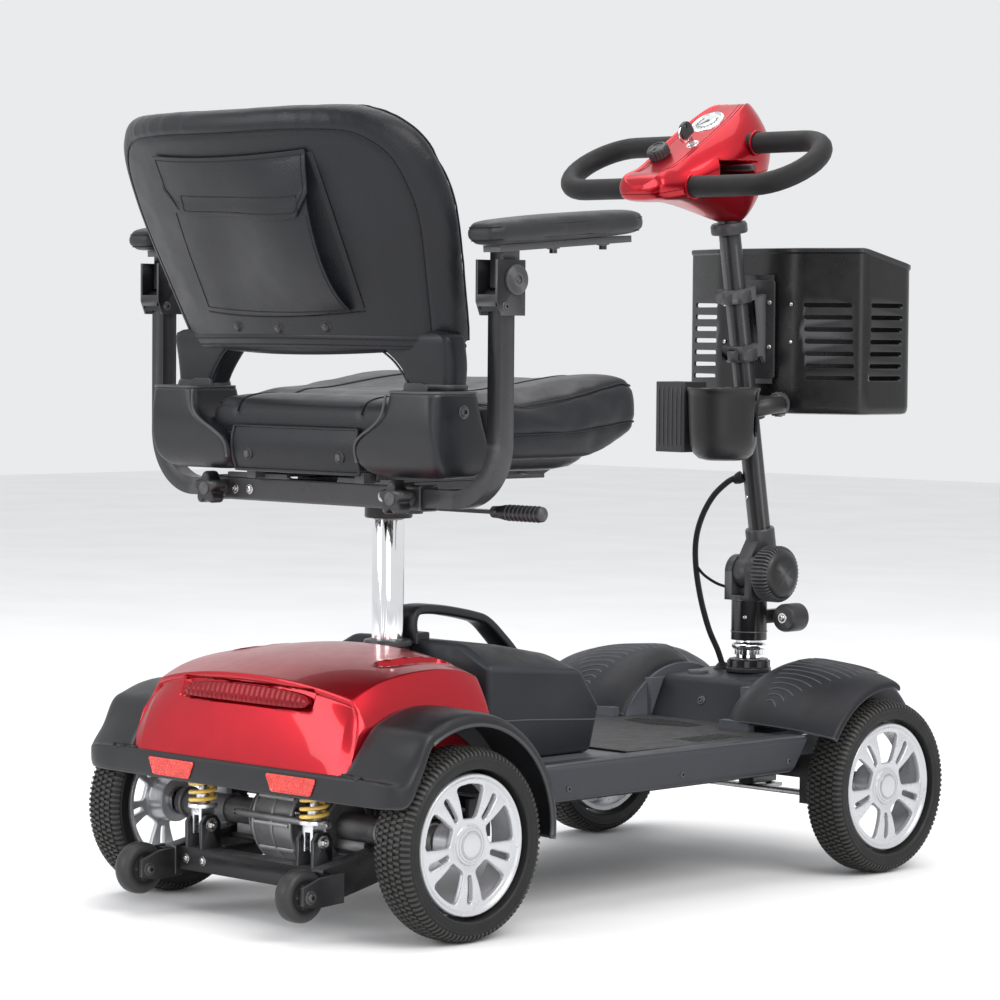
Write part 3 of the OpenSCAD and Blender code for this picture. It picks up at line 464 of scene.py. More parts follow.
def bevel(o, width, segments=2, angle=32):
    m = o.modifiers.new("bevel", "BEVEL")
    m.width = width / 1000
    m.segments = segments
    m.limit_method = "ANGLE"
    m.angle_limit = math.radians(angle)
    m.harden_normals = True
    return o


def subdivide(o, levels):
    m = o.modifiers.new("subdivision", "SUBSURF")
    m.levels = m.render_levels = levels
    return o


def piece(name, part, material, body, slot=None, replaces=(), rounding=None, smooth=35, sub=0):
    o = to_object(name, part, material, smooth) if isinstance(part, Part) else part
    if rounding:
        bevel(o, *(rounding if isinstance(rounding, tuple) else (rounding,)))
    if sub:
        subdivide(o, sub)
    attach(o, body)
    if replaces:
        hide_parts(*([replaces] if isinstance(replaces, str) else replaces))
    if slot is None and material in SLOTS:
        slot = material
    return o


SLOTS = {m["slot"] for m in frame["record"]["materials"]}


def cut(o, cutter_part):
    """Cuts a shape out of an object, and applies the cut."""
    tool = to_object(o.name + "_cutter", cutter_part, "steel")
    m = o.modifiers.new("cut", "BOOLEAN")
    m.operation = "DIFFERENCE"
    m.solver = "EXACT"
    m.use_self = True
    m.object = tool
    bake(o)
    bpy.data.objects.remove(tool)
    return o


def shown(node, material, rounding=0.7):
    """A CAD node that stays: a finish, welded corners and rounded edges."""
    o = nodes[node]
    o.data.materials.clear()
    o.data.materials.append(MAT[material])
    o.data.polygons.foreach_set("use_smooth", [True] * len(o.data.polygons))
    w = o.modifiers.new("weld", "WELD")
    w.merge_threshold = 0.00002
    if rounding:
        bevel(o, rounding, 2, 30)
    return o


def hex_bolt(part, at, axis, r, h, washer=True, dome=True):
    """A bolt head standing on a face; axis is the way it faces."""
    turn = Vector((0, 0, 1)).rotation_difference(Vector(axis).normalized()).to_matrix()
    at = Vector(at)

    def ring(radius, z, n, a0=0):
        return [tuple(at + turn @ Vector((radius * math.cos(a0 + 2 * math.pi * k / n),
                                          radius * math.sin(a0 + 2 * math.pi * k / n), z))) for k in range(n)]
    if washer:
        part.grid([ring(r * 1.55, -0.5, 24), ring(r * 1.55, 0.7, 24), ring(r * 1.45, 1.0, 24), ring(r * 0.3, 1.0, 24)],
                  wrap_u=True, caps=True)
    if dome:
        part.grid([ring(r, 0.5, 20), ring(r, h * 0.45, 20), ring(r * 0.86, h * 0.8, 20), ring(r * 0.55, h * 0.98, 20),
                   ring(r * 0.5, h * 0.98, 20), ring(r * 0.45, h * 0.5, 20)], wrap_u=True, caps=True)
    else:
        part.grid([ring(r, 0.5, 6), ring(r, h * 0.85, 6), ring(r * 0.86, h, 6)], wrap_u=True, caps=True)
        part.grid([ring(r * 0.45, h * 0.9, 16), ring(r * 0.45, h * 1.25, 16), ring(r * 0.35, h * 1.35, 16)],
                  wrap_u=True, caps=True)
    return part

# ---------- wheels ----------

TYRE_R, TYRE_HALF = 97.6, 26.0
WHEELS = {"fl": (1, 221.5, -682, "front_wheel_left"), "fr": (-1, 221.5, -682, "front_wheel_right"),
          "rl": (1, 227.5, 0, "rear_wheel_left"), "rr": (-1, 227.5, 0, "rear_wheel_right")}


def carcass():
    """The tyre's section as (radius, across), from one bead over the crown to the other."""
    out = []
    for i in range(61):
        a = -34 + 248 * i / 60
        s, c = sind(a), cosd(a)
        r = 85.6 + 12 * math.copysign(abs(s) ** 0.75, s)
        x = TYRE_HALF * math.copysign(abs(c) ** 0.6, c)
        r = max(r, 73.2)
        # rings moulded into the side wall
        side = abs(x) / TYRE_HALF
        lift = 0.7 * math.exp(-((r - 89.5) / 0.7) ** 2) + 0.6 * math.exp(-((r - 79.5) / 0.6) ** 2) if side > 0.8 else 0
        out.append((r, x + math.copysign(lift, x) - math.copysign(0.5, x) * (side > 0.95)))
    return out


def crown(x):
    """Carcass radius and outward normal at a place across the tread."""
    def r_at(q):
        c = min(1.0, abs(q) / TYRE_HALF) ** (1 / 0.6)
        return 85.6 + 12 * math.sqrt(max(0.0, 1 - c * c)) ** 0.75
    r = r_at(x)
    d = (r_at(abs(x) + 0.2) - r_at(abs(x) - 0.2)) / 0.4 * (1 if x >= 0 else -1)
    n = Vector((-d, 1)).normalized()
    return r, n


def tyre_part():
    part = Part().lathe(carcass(), (0, 0, 0), "x", 128, closed=True)
    count = 100
    step = 360 / count
    rows = [((1.2, 7.2), 0, 0.62, 2.3), ((-7.2, -1.2), 0.5, 0.62, 2.3), ((8.6, 15.0), 0.5, 0.6, 2.2),
            ((-15.0, -8.6), 0, 0.6, 2.2), ((16.4, 24.6), 0, 0.56, 1.7), ((-24.6, -16.4), 0.5, 0.56, 1.7)]
    for (x0, x1), shift, share, high in rows:
        samples = 2 if abs(x1) < 16 else 5
        for k in range(count):
            mid = (k + shift) * step
            ring = []
            for j in range(samples):
                x = x0 + (x1 - x0) * j / (samples - 1)
                r, n = crown(x)
                lean = (x - (x0 + x1) / 2) * 0.10 * (1 if k % 2 else -1) if samples == 2 else 0
                h = high * (0.55 if samples == 5 and abs(x) > 24 else 1)
                lo, hi = r - 0.9, (x + n.x * h, r + n.y * h)
                half = step * share / 2
                q = []
                for rr, xx, a in ((lo, x, -half), (hi[1], hi[0], -half * 0.8), (hi[1], hi[0], half * 0.8), (lo, x, half)):
                    aa = mid + a + lean
                    q.append((xx, rr * cosd(aa), rr * sind(aa)))
                ring.append(q)
            part.grid(ring, wrap_u=True, caps=True)
    return part


def rim_object():
    """Alloy wheel: five split spokes cut out of a disc, joined to its barrel, then softened like a casting."""
    curve = bpy.data.curves.new("rim_profile", "CURVE")
    curve.dimensions = "2D"
    curve.fill_mode = "BOTH"

    def spline(points):
        s = curve.splines.new("POLY")
        s.points.add(len(points) - 1)
        for q, (y, z) in zip(s.points, points):
            q.co = (y / 1000, z / 1000, 0, 1)
        s.use_cyclic_u = True

    spline([(68.5 * cosd(a), 68.5 * sind(a)) for a in range(0, 360, 3)])
    for k in range(5):
        spin = 72 * k + 90
        window = round_corners([(28.5 * cosd(b), 28.5 * sind(b)) for b in (-19, 19)]
                               + [(62.5 * cosd(b), 62.5 * sind(b)) for b in (18.5, 9.5, 0, -9.5, -18.5)],
                               [3, 3, 6.5, 4, 4, 4, 6.5])
        spline([(y * cosd(spin) - z * sind(spin), y * sind(spin) + z * cosd(spin)) for y, z in window])
        slot = [(33.5 + 3.0 * cosd(b), 3.0 * sind(b)) for b in range(90, 271, 20)]
        slot += [(57 + 3.6 * cosd(b), 3.6 * sind(b)) for b in range(-90, 91, 20)]
        spline([(y * cosd(spin + 36) - z * sind(spin + 36), y * sind(spin + 36) + z * cosd(spin + 36)) for y, z in slot])
    curve.extrude = 0.0035
    holder = bpy.data.objects.new("rim_profile", curve)
    scene.collection.objects.link(holder)
    bpy.context.view_layer.update()
    disc = bpy.data.meshes.new_from_object(holder.evaluated_get(bpy.context.evaluated_depsgraph_get()))
    bpy.data.objects.remove(holder)
    part = Part()
    verts = [(13.6 + v.co.z * 1000, v.co.x * 1000, v.co.y * 1000) for v in disc.vertices]
    part.add(verts, [tuple(p.vertices) for p in disc.polygons])
    part.lathe([(66.5, -19), (73, -21), (73, 18), (72.4, 20.2), (70.4, 20.6), (69, 19.4), (67.2, 17), (66.5, 10)],
               (0, 0, 0), "x", 128)
    part.lathe([(8.3, -14), (24, -14), (24, 14), (21.5, 17.4), (8.3, 17.4)], (0, 0, 0), "x", 96)
    mesh = bpy.data.meshes.new("rim_raw")
    v = np.array(part.v) / 1000
    mesh.from_pydata(v.tolist(), [], part.f)
    bm = bmesh.new()
    bm.from_mesh(mesh)
    bmesh.ops.remove_doubles(bm, verts=bm.verts, dist=1e-6)
    bmesh.ops.recalc_face_normals(bm, faces=bm.faces)
    bm.to_mesh(mesh)
    bm.free()
    o = bpy.data.objects.new("rim_raw", mesh)
    scene.collection.objects.link(o)
    m = o.modifiers.new("remesh", "REMESH")
    m.mode = "VOXEL"
    m.voxel_size = 0.00115
    m = o.modifiers.new("soften", "SMOOTH")
    m.factor, m.iterations = 0.5, 5
    bake(o)
    mesh = o.data
    co = np.zeros(len(mesh.vertices) * 3)
    mesh.vertices.foreach_get("co", co)
    co = co.reshape(-1, 3) * 1000
    r = np.hypot(co[:, 1], co[:, 2])
    crown_of = np.clip((r - 22) / 44, 0, 1)
    co[:, 0] += np.where((r > 21) & (r < 66.5) & (co[:, 0] > 5), 2.2 * np.sin(np.pi * crown_of) - 1.2 * (1 - crown_of), 0)
    mesh.vertices.foreach_set("co", (co / 1000).ravel())
    mesh.polygons.foreach_set("use_smooth", [True] * len(mesh.polygons))
    bpy.data.objects.remove(o)
    return mesh


def placed(mesh, name, side, x, y, z):
    """A copy of a mesh made for the left side, at a wheel's place."""
    copy = mesh.copy()
    co = np.zeros(len(copy.vertices) * 3)
    copy.vertices.foreach_get("co", co)
    co = co.reshape(-1, 3)
    co[:, 0] = side * (co[:, 0] + x / 1000)
    co[:, 1] += (y + AXLE_Y) / 1000
    co[:, 2] += z / 1000
    copy.vertices.foreach_set("co", co.ravel())
    if side < 0:
        copy.flip_normals()
    copy.update()
    o = bpy.data.objects.new(name, copy)
    scene.collection.objects.link(o)
    return o


def make_wheels():
    tread = tyre_part()
    tread.v = [(x, y - AXLE_Y, z) for x, y, z in tread.v]
    tread = to_object("tread_master", tread, "tyre", 40)
    rim = rim_object()
    rim.materials.clear()
    rim.materials.append(MAT["rim_alloy"])
    cap = Part().lathe([(0.01, 14), (20.6, 14), (20.6, 17.6), (19.9, 18.6), (18.6, 18.9), (18.2, 18.2), (17.4, 18.2),
                        (17.0, 19.0), (12, 20.0), (6, 20.5), (0.01, 20.6)], (0, -AXLE_Y, 0), "x", 64)
    cap = to_object("cap_master", cap, "rim_alloy", 30)
    for tag, (side, x, y, body) in WHEELS.items():
        o = placed(tread.data, "tyre_tread_" + tag, side, x, y, 100)
        piece(o.name, o, "tyre", body, replaces="tyre_" + tag)
        o = placed(rim, "alloy_wheel_" + tag, side, x, y, 100)
        piece(o.name, o, "rim_alloy", body, replaces="rim_" + tag)
        o = placed(cap.data, "hub_cap_" + tag, side, x, y, 100)
        piece(o.name, o, "rim_alloy", body)
        back = Part().lathe([(8.2, -20), (15, -20), (15, -13), (8.2, -13)], (side * x, y, 100), "x", 32)
        piece("wheel_spacer_" + tag, back, "steel", body, rounding=0.5)
    for o in (tread, cap):
        bpy.data.objects.remove(o)


make_wheels()

# ---------- chassis ----------

shown("frame", "frame_paint", 1.2)


def make_deck():
    part = Part()
    rail = round_corners([(178, 153), (178, 160), (184, 165), (205, 165), (210, 161), (210, 129), (206, 124.5),
                          (186, 124.5), (186, 150)], [1, 2, 3, 4, 4, 4, 4, 1, 1], 4)
    part.prism(rail, -573.5, -141.5, "y")
    part.prism([(136, 130), (136, 153), (140, 153), (140, 130)], -760, -573, "y")
    part.mirrored()
    part.box((-179, 179), (-573.5, -141.5), (152, 160))
    part.box((-150, 150), (-573.9, -570), (130, 153))
    part.box((-178, 178), (-145, -141.2), (126, 153))
    o = to_object("foot_deck", part, "deck_plastic", 35)
    wedge = Part().prism([(-590, 163), (-574.3, 163), (-546.2, 123.8), (-540, 110), (-590, 110)], 174, 216, "x")
    cut(o, wedge.mirrored())
    front = Part()
    neck = round_corners([(-140, -573), (-140, -760), (140, -760), (140, -573)], [1, 14, 14, 1])
    front.prism(neck, 154, 160, "z")
    f = to_object("deck_nose", front, "deck_plastic", 35)
    hole = Part().lathe([(0.01, 140), (17.6, 140), (17.6, 180), (0.01, 180)], (0, -714, 0), "z", 48)
    cut(f, hole)
    piece("deck_nose", f, "deck_plastic", "chassis", rounding=(1.2, 2))
    piece("foot_deck", o, "deck_plastic", "chassis", replaces="deck", rounding=(1.4, 2))
    # bright edging along both sides, and screws in the skirts
    trim = Part().tube(smooth_curve([(207.2, -571, 163.6), (207.2, -400, 163.6), (207.2, -145, 163.6)], 6), 1.3, 8)
    piece("deck_edging", trim.mirrored(), "deck_plastic", "chassis")
    screws = Part()
    for y in (-540, -360, -180):
        hex_bolt(screws, (209.6, y, 138), (1, 0, 0), 3.4, 2.2, washer=False)
    piece("skirt_screws", screws.mirrored(), "black_bolt", "chassis")


def make_mat():
    outline = round_corners([(-170, -568), (-97, -568), (-95, -586), (-68, -612), (68, -612), (95, -586), (97, -568),
                             (170, -568), (172, -440), (165, -322), (-165, -322), (-172, -440)],
                            [10, 4, 8, 12, 12, 8, 4, 10, 30, 8, 8, 30])
    piece("floor_mat", Part().prism(outline, 160.1, 162.6, "z"), "mat_rubber", "chassis", replaces="deck_mat",
          rounding=(0.7, 2))
    ribs = Part()
    for i in range(17):
        x = -48 + 6 * i
        half = 26 - abs(i - 8) * 1.6
        ribs.tube([(x, -560 - half, 162.3), (x, -560 - half + 2, 162.7), (x, -560 + half - 2, 162.7),
                   (x, -560 + half, 162.3)], (1.4, 0.9), 8)
    for x in (-140, 140):
        for i in range(9):
            ribs.tube([(x - 20, -520 + 9 * i, 162.3), (x - 18, -520 + 9 * i, 162.7), (x + 18, -520 + 9 * i, 162.7),
                       (x + 20, -520 + 9 * i, 162.3)], (1.4, 0.9), 8)
    piece("mat_ribs", ribs, "mat_rubber", "chassis")


make_deck()
make_mat()

FRONT_Y = -682


def polar(x, r, a, y0, z0):
    return (x, y0 + r * cosd(a), z0 + r * sind(a))


def make_front_shroud():
    for side, tag in ((1, "left"), (-1, "right")):
        outer = smooth_curve([(80, 121), (84, 125), (100, 133.5), (114, 138), (126, 139.4), (150, 138), (185, 134.8),
                              (215, 129.5), (232, 125), (241, 121.5), (244.2, 117.8), (244, 114)], 5)
        inner = [(240.6, 114), (240.4, 117), (232, 120.6), (215, 125.4), (185, 130.4), (150, 133.8), (126, 135),
                 (102, 130), (84, 119)]
        section = [tuple(p) for p in outer] + inner
        rows = []
        for i in range(70):
            a = 31.5 + 66.5 * i / 69
            lip = 1 - 0.9 * max(0.0, (a - 92) / 6) ** 2
            rows.append([polar(side * x, (r - (3.5 * (1 - lip))), a, FRONT_Y, 100) for x, r in section])
        part = Part().grid(rows, wrap_u=True, caps=True)
        hood = [(80, 120.5), (84, 124.5), (100, 133), (114, 137.4), (126, 138.8), (150, 137.4), (180, 134.4),
                (183.6, 133), (184, 130.6), (150, 133.4), (126, 134.6), (102, 129.6), (84, 118.6)]
        rows = [[polar(side * x, r, 96 + 54 * i / 24, FRONT_Y, 100) for x, r in hood] for i in range(25)]
        part.grid(rows, wrap_u=True, caps=True)
        # cheek that runs down to the floor
        part.box(sorted((side * 70.2, side * 84)), (-740, -618), (160.1, 206))
        part.box(sorted((side * 84, side * 128)), (-576, -564.6), (160.1, 173))
        cheek = []
        for i in range(25):
            a = 32 + 116 * i / 24
            top = polar(side * 81, 119, a, FRONT_Y, 100)
            cheek.append([(side * 78, top[1], max(160.2, top[2] + 1)), (side * 80.6, top[1], max(160.4, top[2] + 2)),
                          (side * 83.5, top[1], max(160.4, top[2] + 2)), (side * 85.5, top[1], 160.2),
                          (side * 76, top[1], 160.2)])
        part.grid(cheek, wrap_u=True, caps=True)
        piece("front_fender_" + tag, part, "deck_plastic", "chassis",
              replaces="front_shroud" if side > 0 else (), rounding=None, smooth=50)
        ribs = Part()
        for k in range(15):
            mid = 43 + 4.1 * k
            half = min(52, 9 + 5.2 * k) if k < 10 else 54
            centre = 163 - 2.0 * max(0, 8 - k) + (0 if k < 10 else -3)
            path, radii = [], []
            for j in range(15):
                t = -1 + 2 * j / 14
                x = centre + half * t
                r = np.interp(x, [p[0] for p in outer[:-8]], [p[1] for p in outer[:-8]])
                a = mid + 2.6 * (1 - t * t) - 1.0 * t
                path.append(polar(side * x, r - 0.35, min(a, 97), FRONT_Y, 100))
                taper = math.sqrt(max(0.02, 1 - t ** 6))
                radii.append((1.5 * taper, 1.0 * taper))
            ribs.tube(path, radii, 8)
        piece("fender_ribs_" + tag, ribs, "deck_plastic", "chassis", smooth=60)
    box = Part().prism(round_corners([(-617, 160.2), (-640, 206), (-646, 210.5), (-700, 212.5), (-735, 214.5),
                                      (-770, 207), (-790, 160.2)], [1, 4, 8, 14, 16, 12, 1]), -70, 70, "x")
    o = to_object("steering_housing", box, "deck_plastic", 30)
    bevel(o, 5, 4, 40)
    bake(o)
    hole = Part().box((-18.6, 18.6), (-732.6, -695.4), (150, 230))
    hollow = Part().prism([(-622, 150), (-645, 204), (-700, 207), (-735, 209), (-773, 200), (-786, 150)], -65, 65, "x")
    cut(o, hollow)
    cut(o, hole)
    shade(o.data, 35)
    piece("steering_housing", o, "deck_plastic", "chassis", replaces="steering_box")
    extra = Part()
    extra.lathe([(0.01, 209), (13, 209), (13, 213), (12, 214.4), (9, 214.8), (0.01, 214.8)], (44, -672, 0), "z", 40)
    piece("housing_boss", extra, "deck_plastic", "chassis")
    bolt = hex_bolt(Part(), (0, -628.5, 184), (0, 0.92, 0.4), 3.6, 2.6)
    piece("housing_screw", bolt, "black_bolt", "chassis")
    grommet = Part().lathe([(4, 210), (11, 210), (11.6, 213.5), (9, 216.5), (6, 220), (4.2, 221)], (43, -716, 0), "z", 32)
    piece("cable_grommet", grommet, "cable_sheath", "chassis", slot="cable_sheath")


make_front_shroud()


def cage(rows, material, name, creases=(), levels=3, bake_it=True):
    """Half a shell as rows of (x, y, z) points from the centre line outwards; mirrored, welded and subdivided.
    creases holds (kind, index, sharpness): kind "row" or "col"."""
    n = len(rows[0])
    bm = bmesh.new()
    sharp = bm.edges.layers.float.new("crease_edge")
    grids = {}
    for side in (1, -1):
        for i, row in enumerate(rows):
            for j, (x, y, z) in enumerate(row):
                grids[side, i, j] = bm.verts.new((side * x / 1000, (y + AXLE_Y) / 1000, z / 1000))
    faces = []
    for side in (1, -1):
        for i in range(len(rows) - 1):
            for j in range(n - 1):
                q = [grids[side, i, j], grids[side, i, j + 1], grids[side, i + 1, j + 1], grids[side, i + 1, j]]
                faces.append(bm.faces.new(q if side > 0 else q[::-1]))
    for kind, index, value in creases:
        for side in (1, -1):
            for k in range((n if kind == "row" else len(rows)) - 1):
                a = grids[side, index, k] if kind == "row" else grids[side, k, index]
                b = grids[side, index, k + 1] if kind == "row" else grids[side, k + 1, index]
                e = bm.edges.get((a, b))
                if e:
                    e[sharp] = max(e[sharp], value)
    bmesh.ops.remove_doubles(bm, verts=bm.verts, dist=1e-5)
    bmesh.ops.dissolve_degenerate(bm, edges=bm.edges, dist=1e-6)
    bmesh.ops.recalc_face_normals(bm, faces=bm.faces)
    mesh = bpy.data.meshes.new(name)
    bm.to_mesh(mesh)
    bm.free()
    mesh.materials.append(MAT[material])
    mesh.polygons.foreach_set("use_smooth", [True] * len(mesh.polygons))
    o = bpy.data.objects.new(name, mesh)
    scene.collection.objects.link(o)
    subdivide(o, levels)
    return bake(o) if bake_it else o


def points_of(o):
    co = np.zeros(len(o.data.vertices) * 3)
    o.data.vertices.foreach_get("co", co)
    co = co.reshape(-1, 3) * 1000
    co[:, 1] -= AXLE_Y
    return co


def set_points(o, co):
    o.data.vertices.foreach_set("co", metres(co).ravel())
    o.data.update()


def step(x, lo, hi):
    t = np.clip((x - lo) / (hi - lo), 0, 1)
    return t * t * (3 - 2 * t)


def make_rear_cover():
    xs = [0, 30, 62, 100, 136, 151]

    def top(y):
        centre = np.interp(y, [-112, -95, -50, 0, 40, 70, 90], [281, 287, 285, 281, 274.5, 267.5, 262])
        side = np.interp(y, [-112, -95, -50, 0, 40, 70, 90], [258, 264, 271, 269, 262, 253, 246.5])
        return [(x, y, side + (centre - side) * (1 - (x / 151) ** 2.2)) for x in xs]

    rows = []
    front = [(x, -111, 172) for x in xs] + [(163, -111, 172), (169.6, -111, 172), (169.8, -111, 171)]
    rows.append(front)
    rows.append([(x, -112, 225) for x in xs[:4]] + [(136, -111.5, 220), (151, -111.5, 214), (163, -111.5, 206),
                                                    (169.4, -111, 200), (169.8, -111, 171)])
    for y, zs in ((-103, 214), (-80, 222), (-40, 221.5), (10, 220), (50, 218)):
        t = top(y)
        if y == -103:
            t = [(a, b, c - 4) for a, b, c in t]
        rows.append(t + [(162, y, (t[-1][2] + zs) / 2 + 3), (169.8, y, zs), (170, y, 170.6)])
    brow = [(0, 88.5, 262), (30, 88.3, 261.6), (62, 87.6, 260), (100, 85.5, 256), (136, 82, 249.5), (151, 78, 245)]
    rows.append(brow + [(162, 76, 232), (169.8, 74, 217.5), (170, 78, 170.6)])
    under = [(x, y + 1.0, z - 4.5) for x, y, z in brow]
    rows.append(under + [(163, 80, 226), (169.8, 82, 214), (170, 84, 170.6)])
    drop = [(x, y - 1.8, z - 7.5) for x, y, z in brow]
    rows.append(drop + [(163.2, 82, 222), (169.9, 86, 211), (170, 88, 170.6)])
    mid = [(0, 94.5, 226), (30, 94.4, 226), (62, 94, 225.5), (100, 93, 224), (136, 91.5, 222), (152, 88.5, 220)]
    rows.append(mid + [(165.5, 86.5, 206), (170, 90, 200), (170, 92, 170.6)])
    low = [(0, 101, 196), (30, 101, 196), (62, 100.7, 196), (100, 100, 196), (136, 99, 196), (154, 97, 196)]
    rows.append(low + [(167, 94, 191), (170, 95, 186), (170, 96, 170.6)])
    foot = [(0, 104.6, 171), (30, 104.6, 171), (62, 104.4, 171), (100, 104, 171), (136, 103.4, 171), (155, 102.6, 171)]
    rows.append(foot + [(168, 101, 171), (170, 99, 171), (170, 99, 170.6)])
    o = cage(rows, "red_gloss", "rear_shell",
             [("col", 5, 0.55), ("col", 7, 0.6), ("row", 0, 1), ("row", 7, 0.75), ("row", 9, 0.5), ("row", 2, 0.4)], 4)
    co = points_of(o)
    x, y, z = np.abs(co[:, 0]), co[:, 1], co[:, 2]
    # hand grooves on both shoulders
    ax = np.array((119.0, -78.0))
    bx = np.array((112.0, -8.0))
    d = bx - ax
    t = np.clip(((x - ax[0]) * d[0] + (y - ax[1]) * d[1]) / (d @ d), 0, 1)
    dist = np.hypot(x - ax[0] - t * d[0], y - ax[1] - t * d[1])
    groove = (1 - step(dist, 7.5, 12)) * (z > 235)
    co[:, 2] -= 9 * groove
    rim = np.exp(-((dist - 13) / 2.2) ** 2) * (z > 235)
    co[:, 2] += 0.9 * rim
    # lamp recess under the brow
    inset = (1 - step(x, 99, 104)) * step(z, 229, 232.5) * (1 - step(z, 251, 254)) * (y > 60)
    co[:, 1] -= 5.5 * inset
    set_points(o, co)
    m = o.modifiers.new("wall", "SOLIDIFY")
    m.thickness, m.offset = 0.003, -1
    bake(o)
    notch = Part().lathe([(0.01, 150), (26.5, 150), (26.5, 320), (0.01, 320)], (0, -115, 0), "z", 64)
    notch.box((-26.5, 26.5), (-160, -115), (150, 320))
    cut(o, notch)
    arches = Part()
    for s in (1, -1):
        arches.lathe([(0.01, s * 149), (120, s * 149), (120, s * 200), (0.01, s * 200)], (0, 0, 112), "x", 96)
    shade(o.data, 40)
    piece("rear_shell", o, "red_gloss", "chassis", replaces="rear_cover")
    # tail lamp: a long lens under the brow
    lens = Part()
    rows = []
    for i in range(41):
        x = -99 + 198 * i / 40
        e = math.sqrt(max(0.0, 1 - (abs(x) / 99) ** 14))
        base = np.interp(abs(x), [0, 30, 62, 100], [91.2, 91.0, 90.4, 88.6])
        top_z = np.interp(abs(x), [0, 30, 62, 100], [250.5, 250.2, 249, 246]) - (1 - e) * 7
        low_z = 232.6 + (1 - e) * 6
        row = []
        for j in range(9):
            zz = low_z + (top_z - low_z) * j / 8
            bulge = 1.6 * math.sin(math.pi * j / 8)
            row.append((x, base + bulge - (zz - 240) * 0.22, zz))
        row += [(x, base - 5 - (zz - 240) * 0.22, zz) for zz in (top_z, low_z)]
        rows.append(row)
    lens.grid(rows, wrap_u=True, caps=True)
    piece("tail_lens", lens, "lamp_lens", "chassis", replaces="tail_lamp")
    ribs = Part()
    for i in range(33):
        x = -88 + 5.5 * i
        base = np.interp(abs(x), [0, 30, 62, 100], [91.2, 91.0, 90.4, 88.6])
        ribs.tube([(x, base + 0.9 - (zz - 240) * 0.22, zz) for zz in (235.5, 238, 241, 244)], 0.7, 6)
    piece("tail_lens_ribs", ribs, "lamp_lens", "chassis")


make_rear_cover()


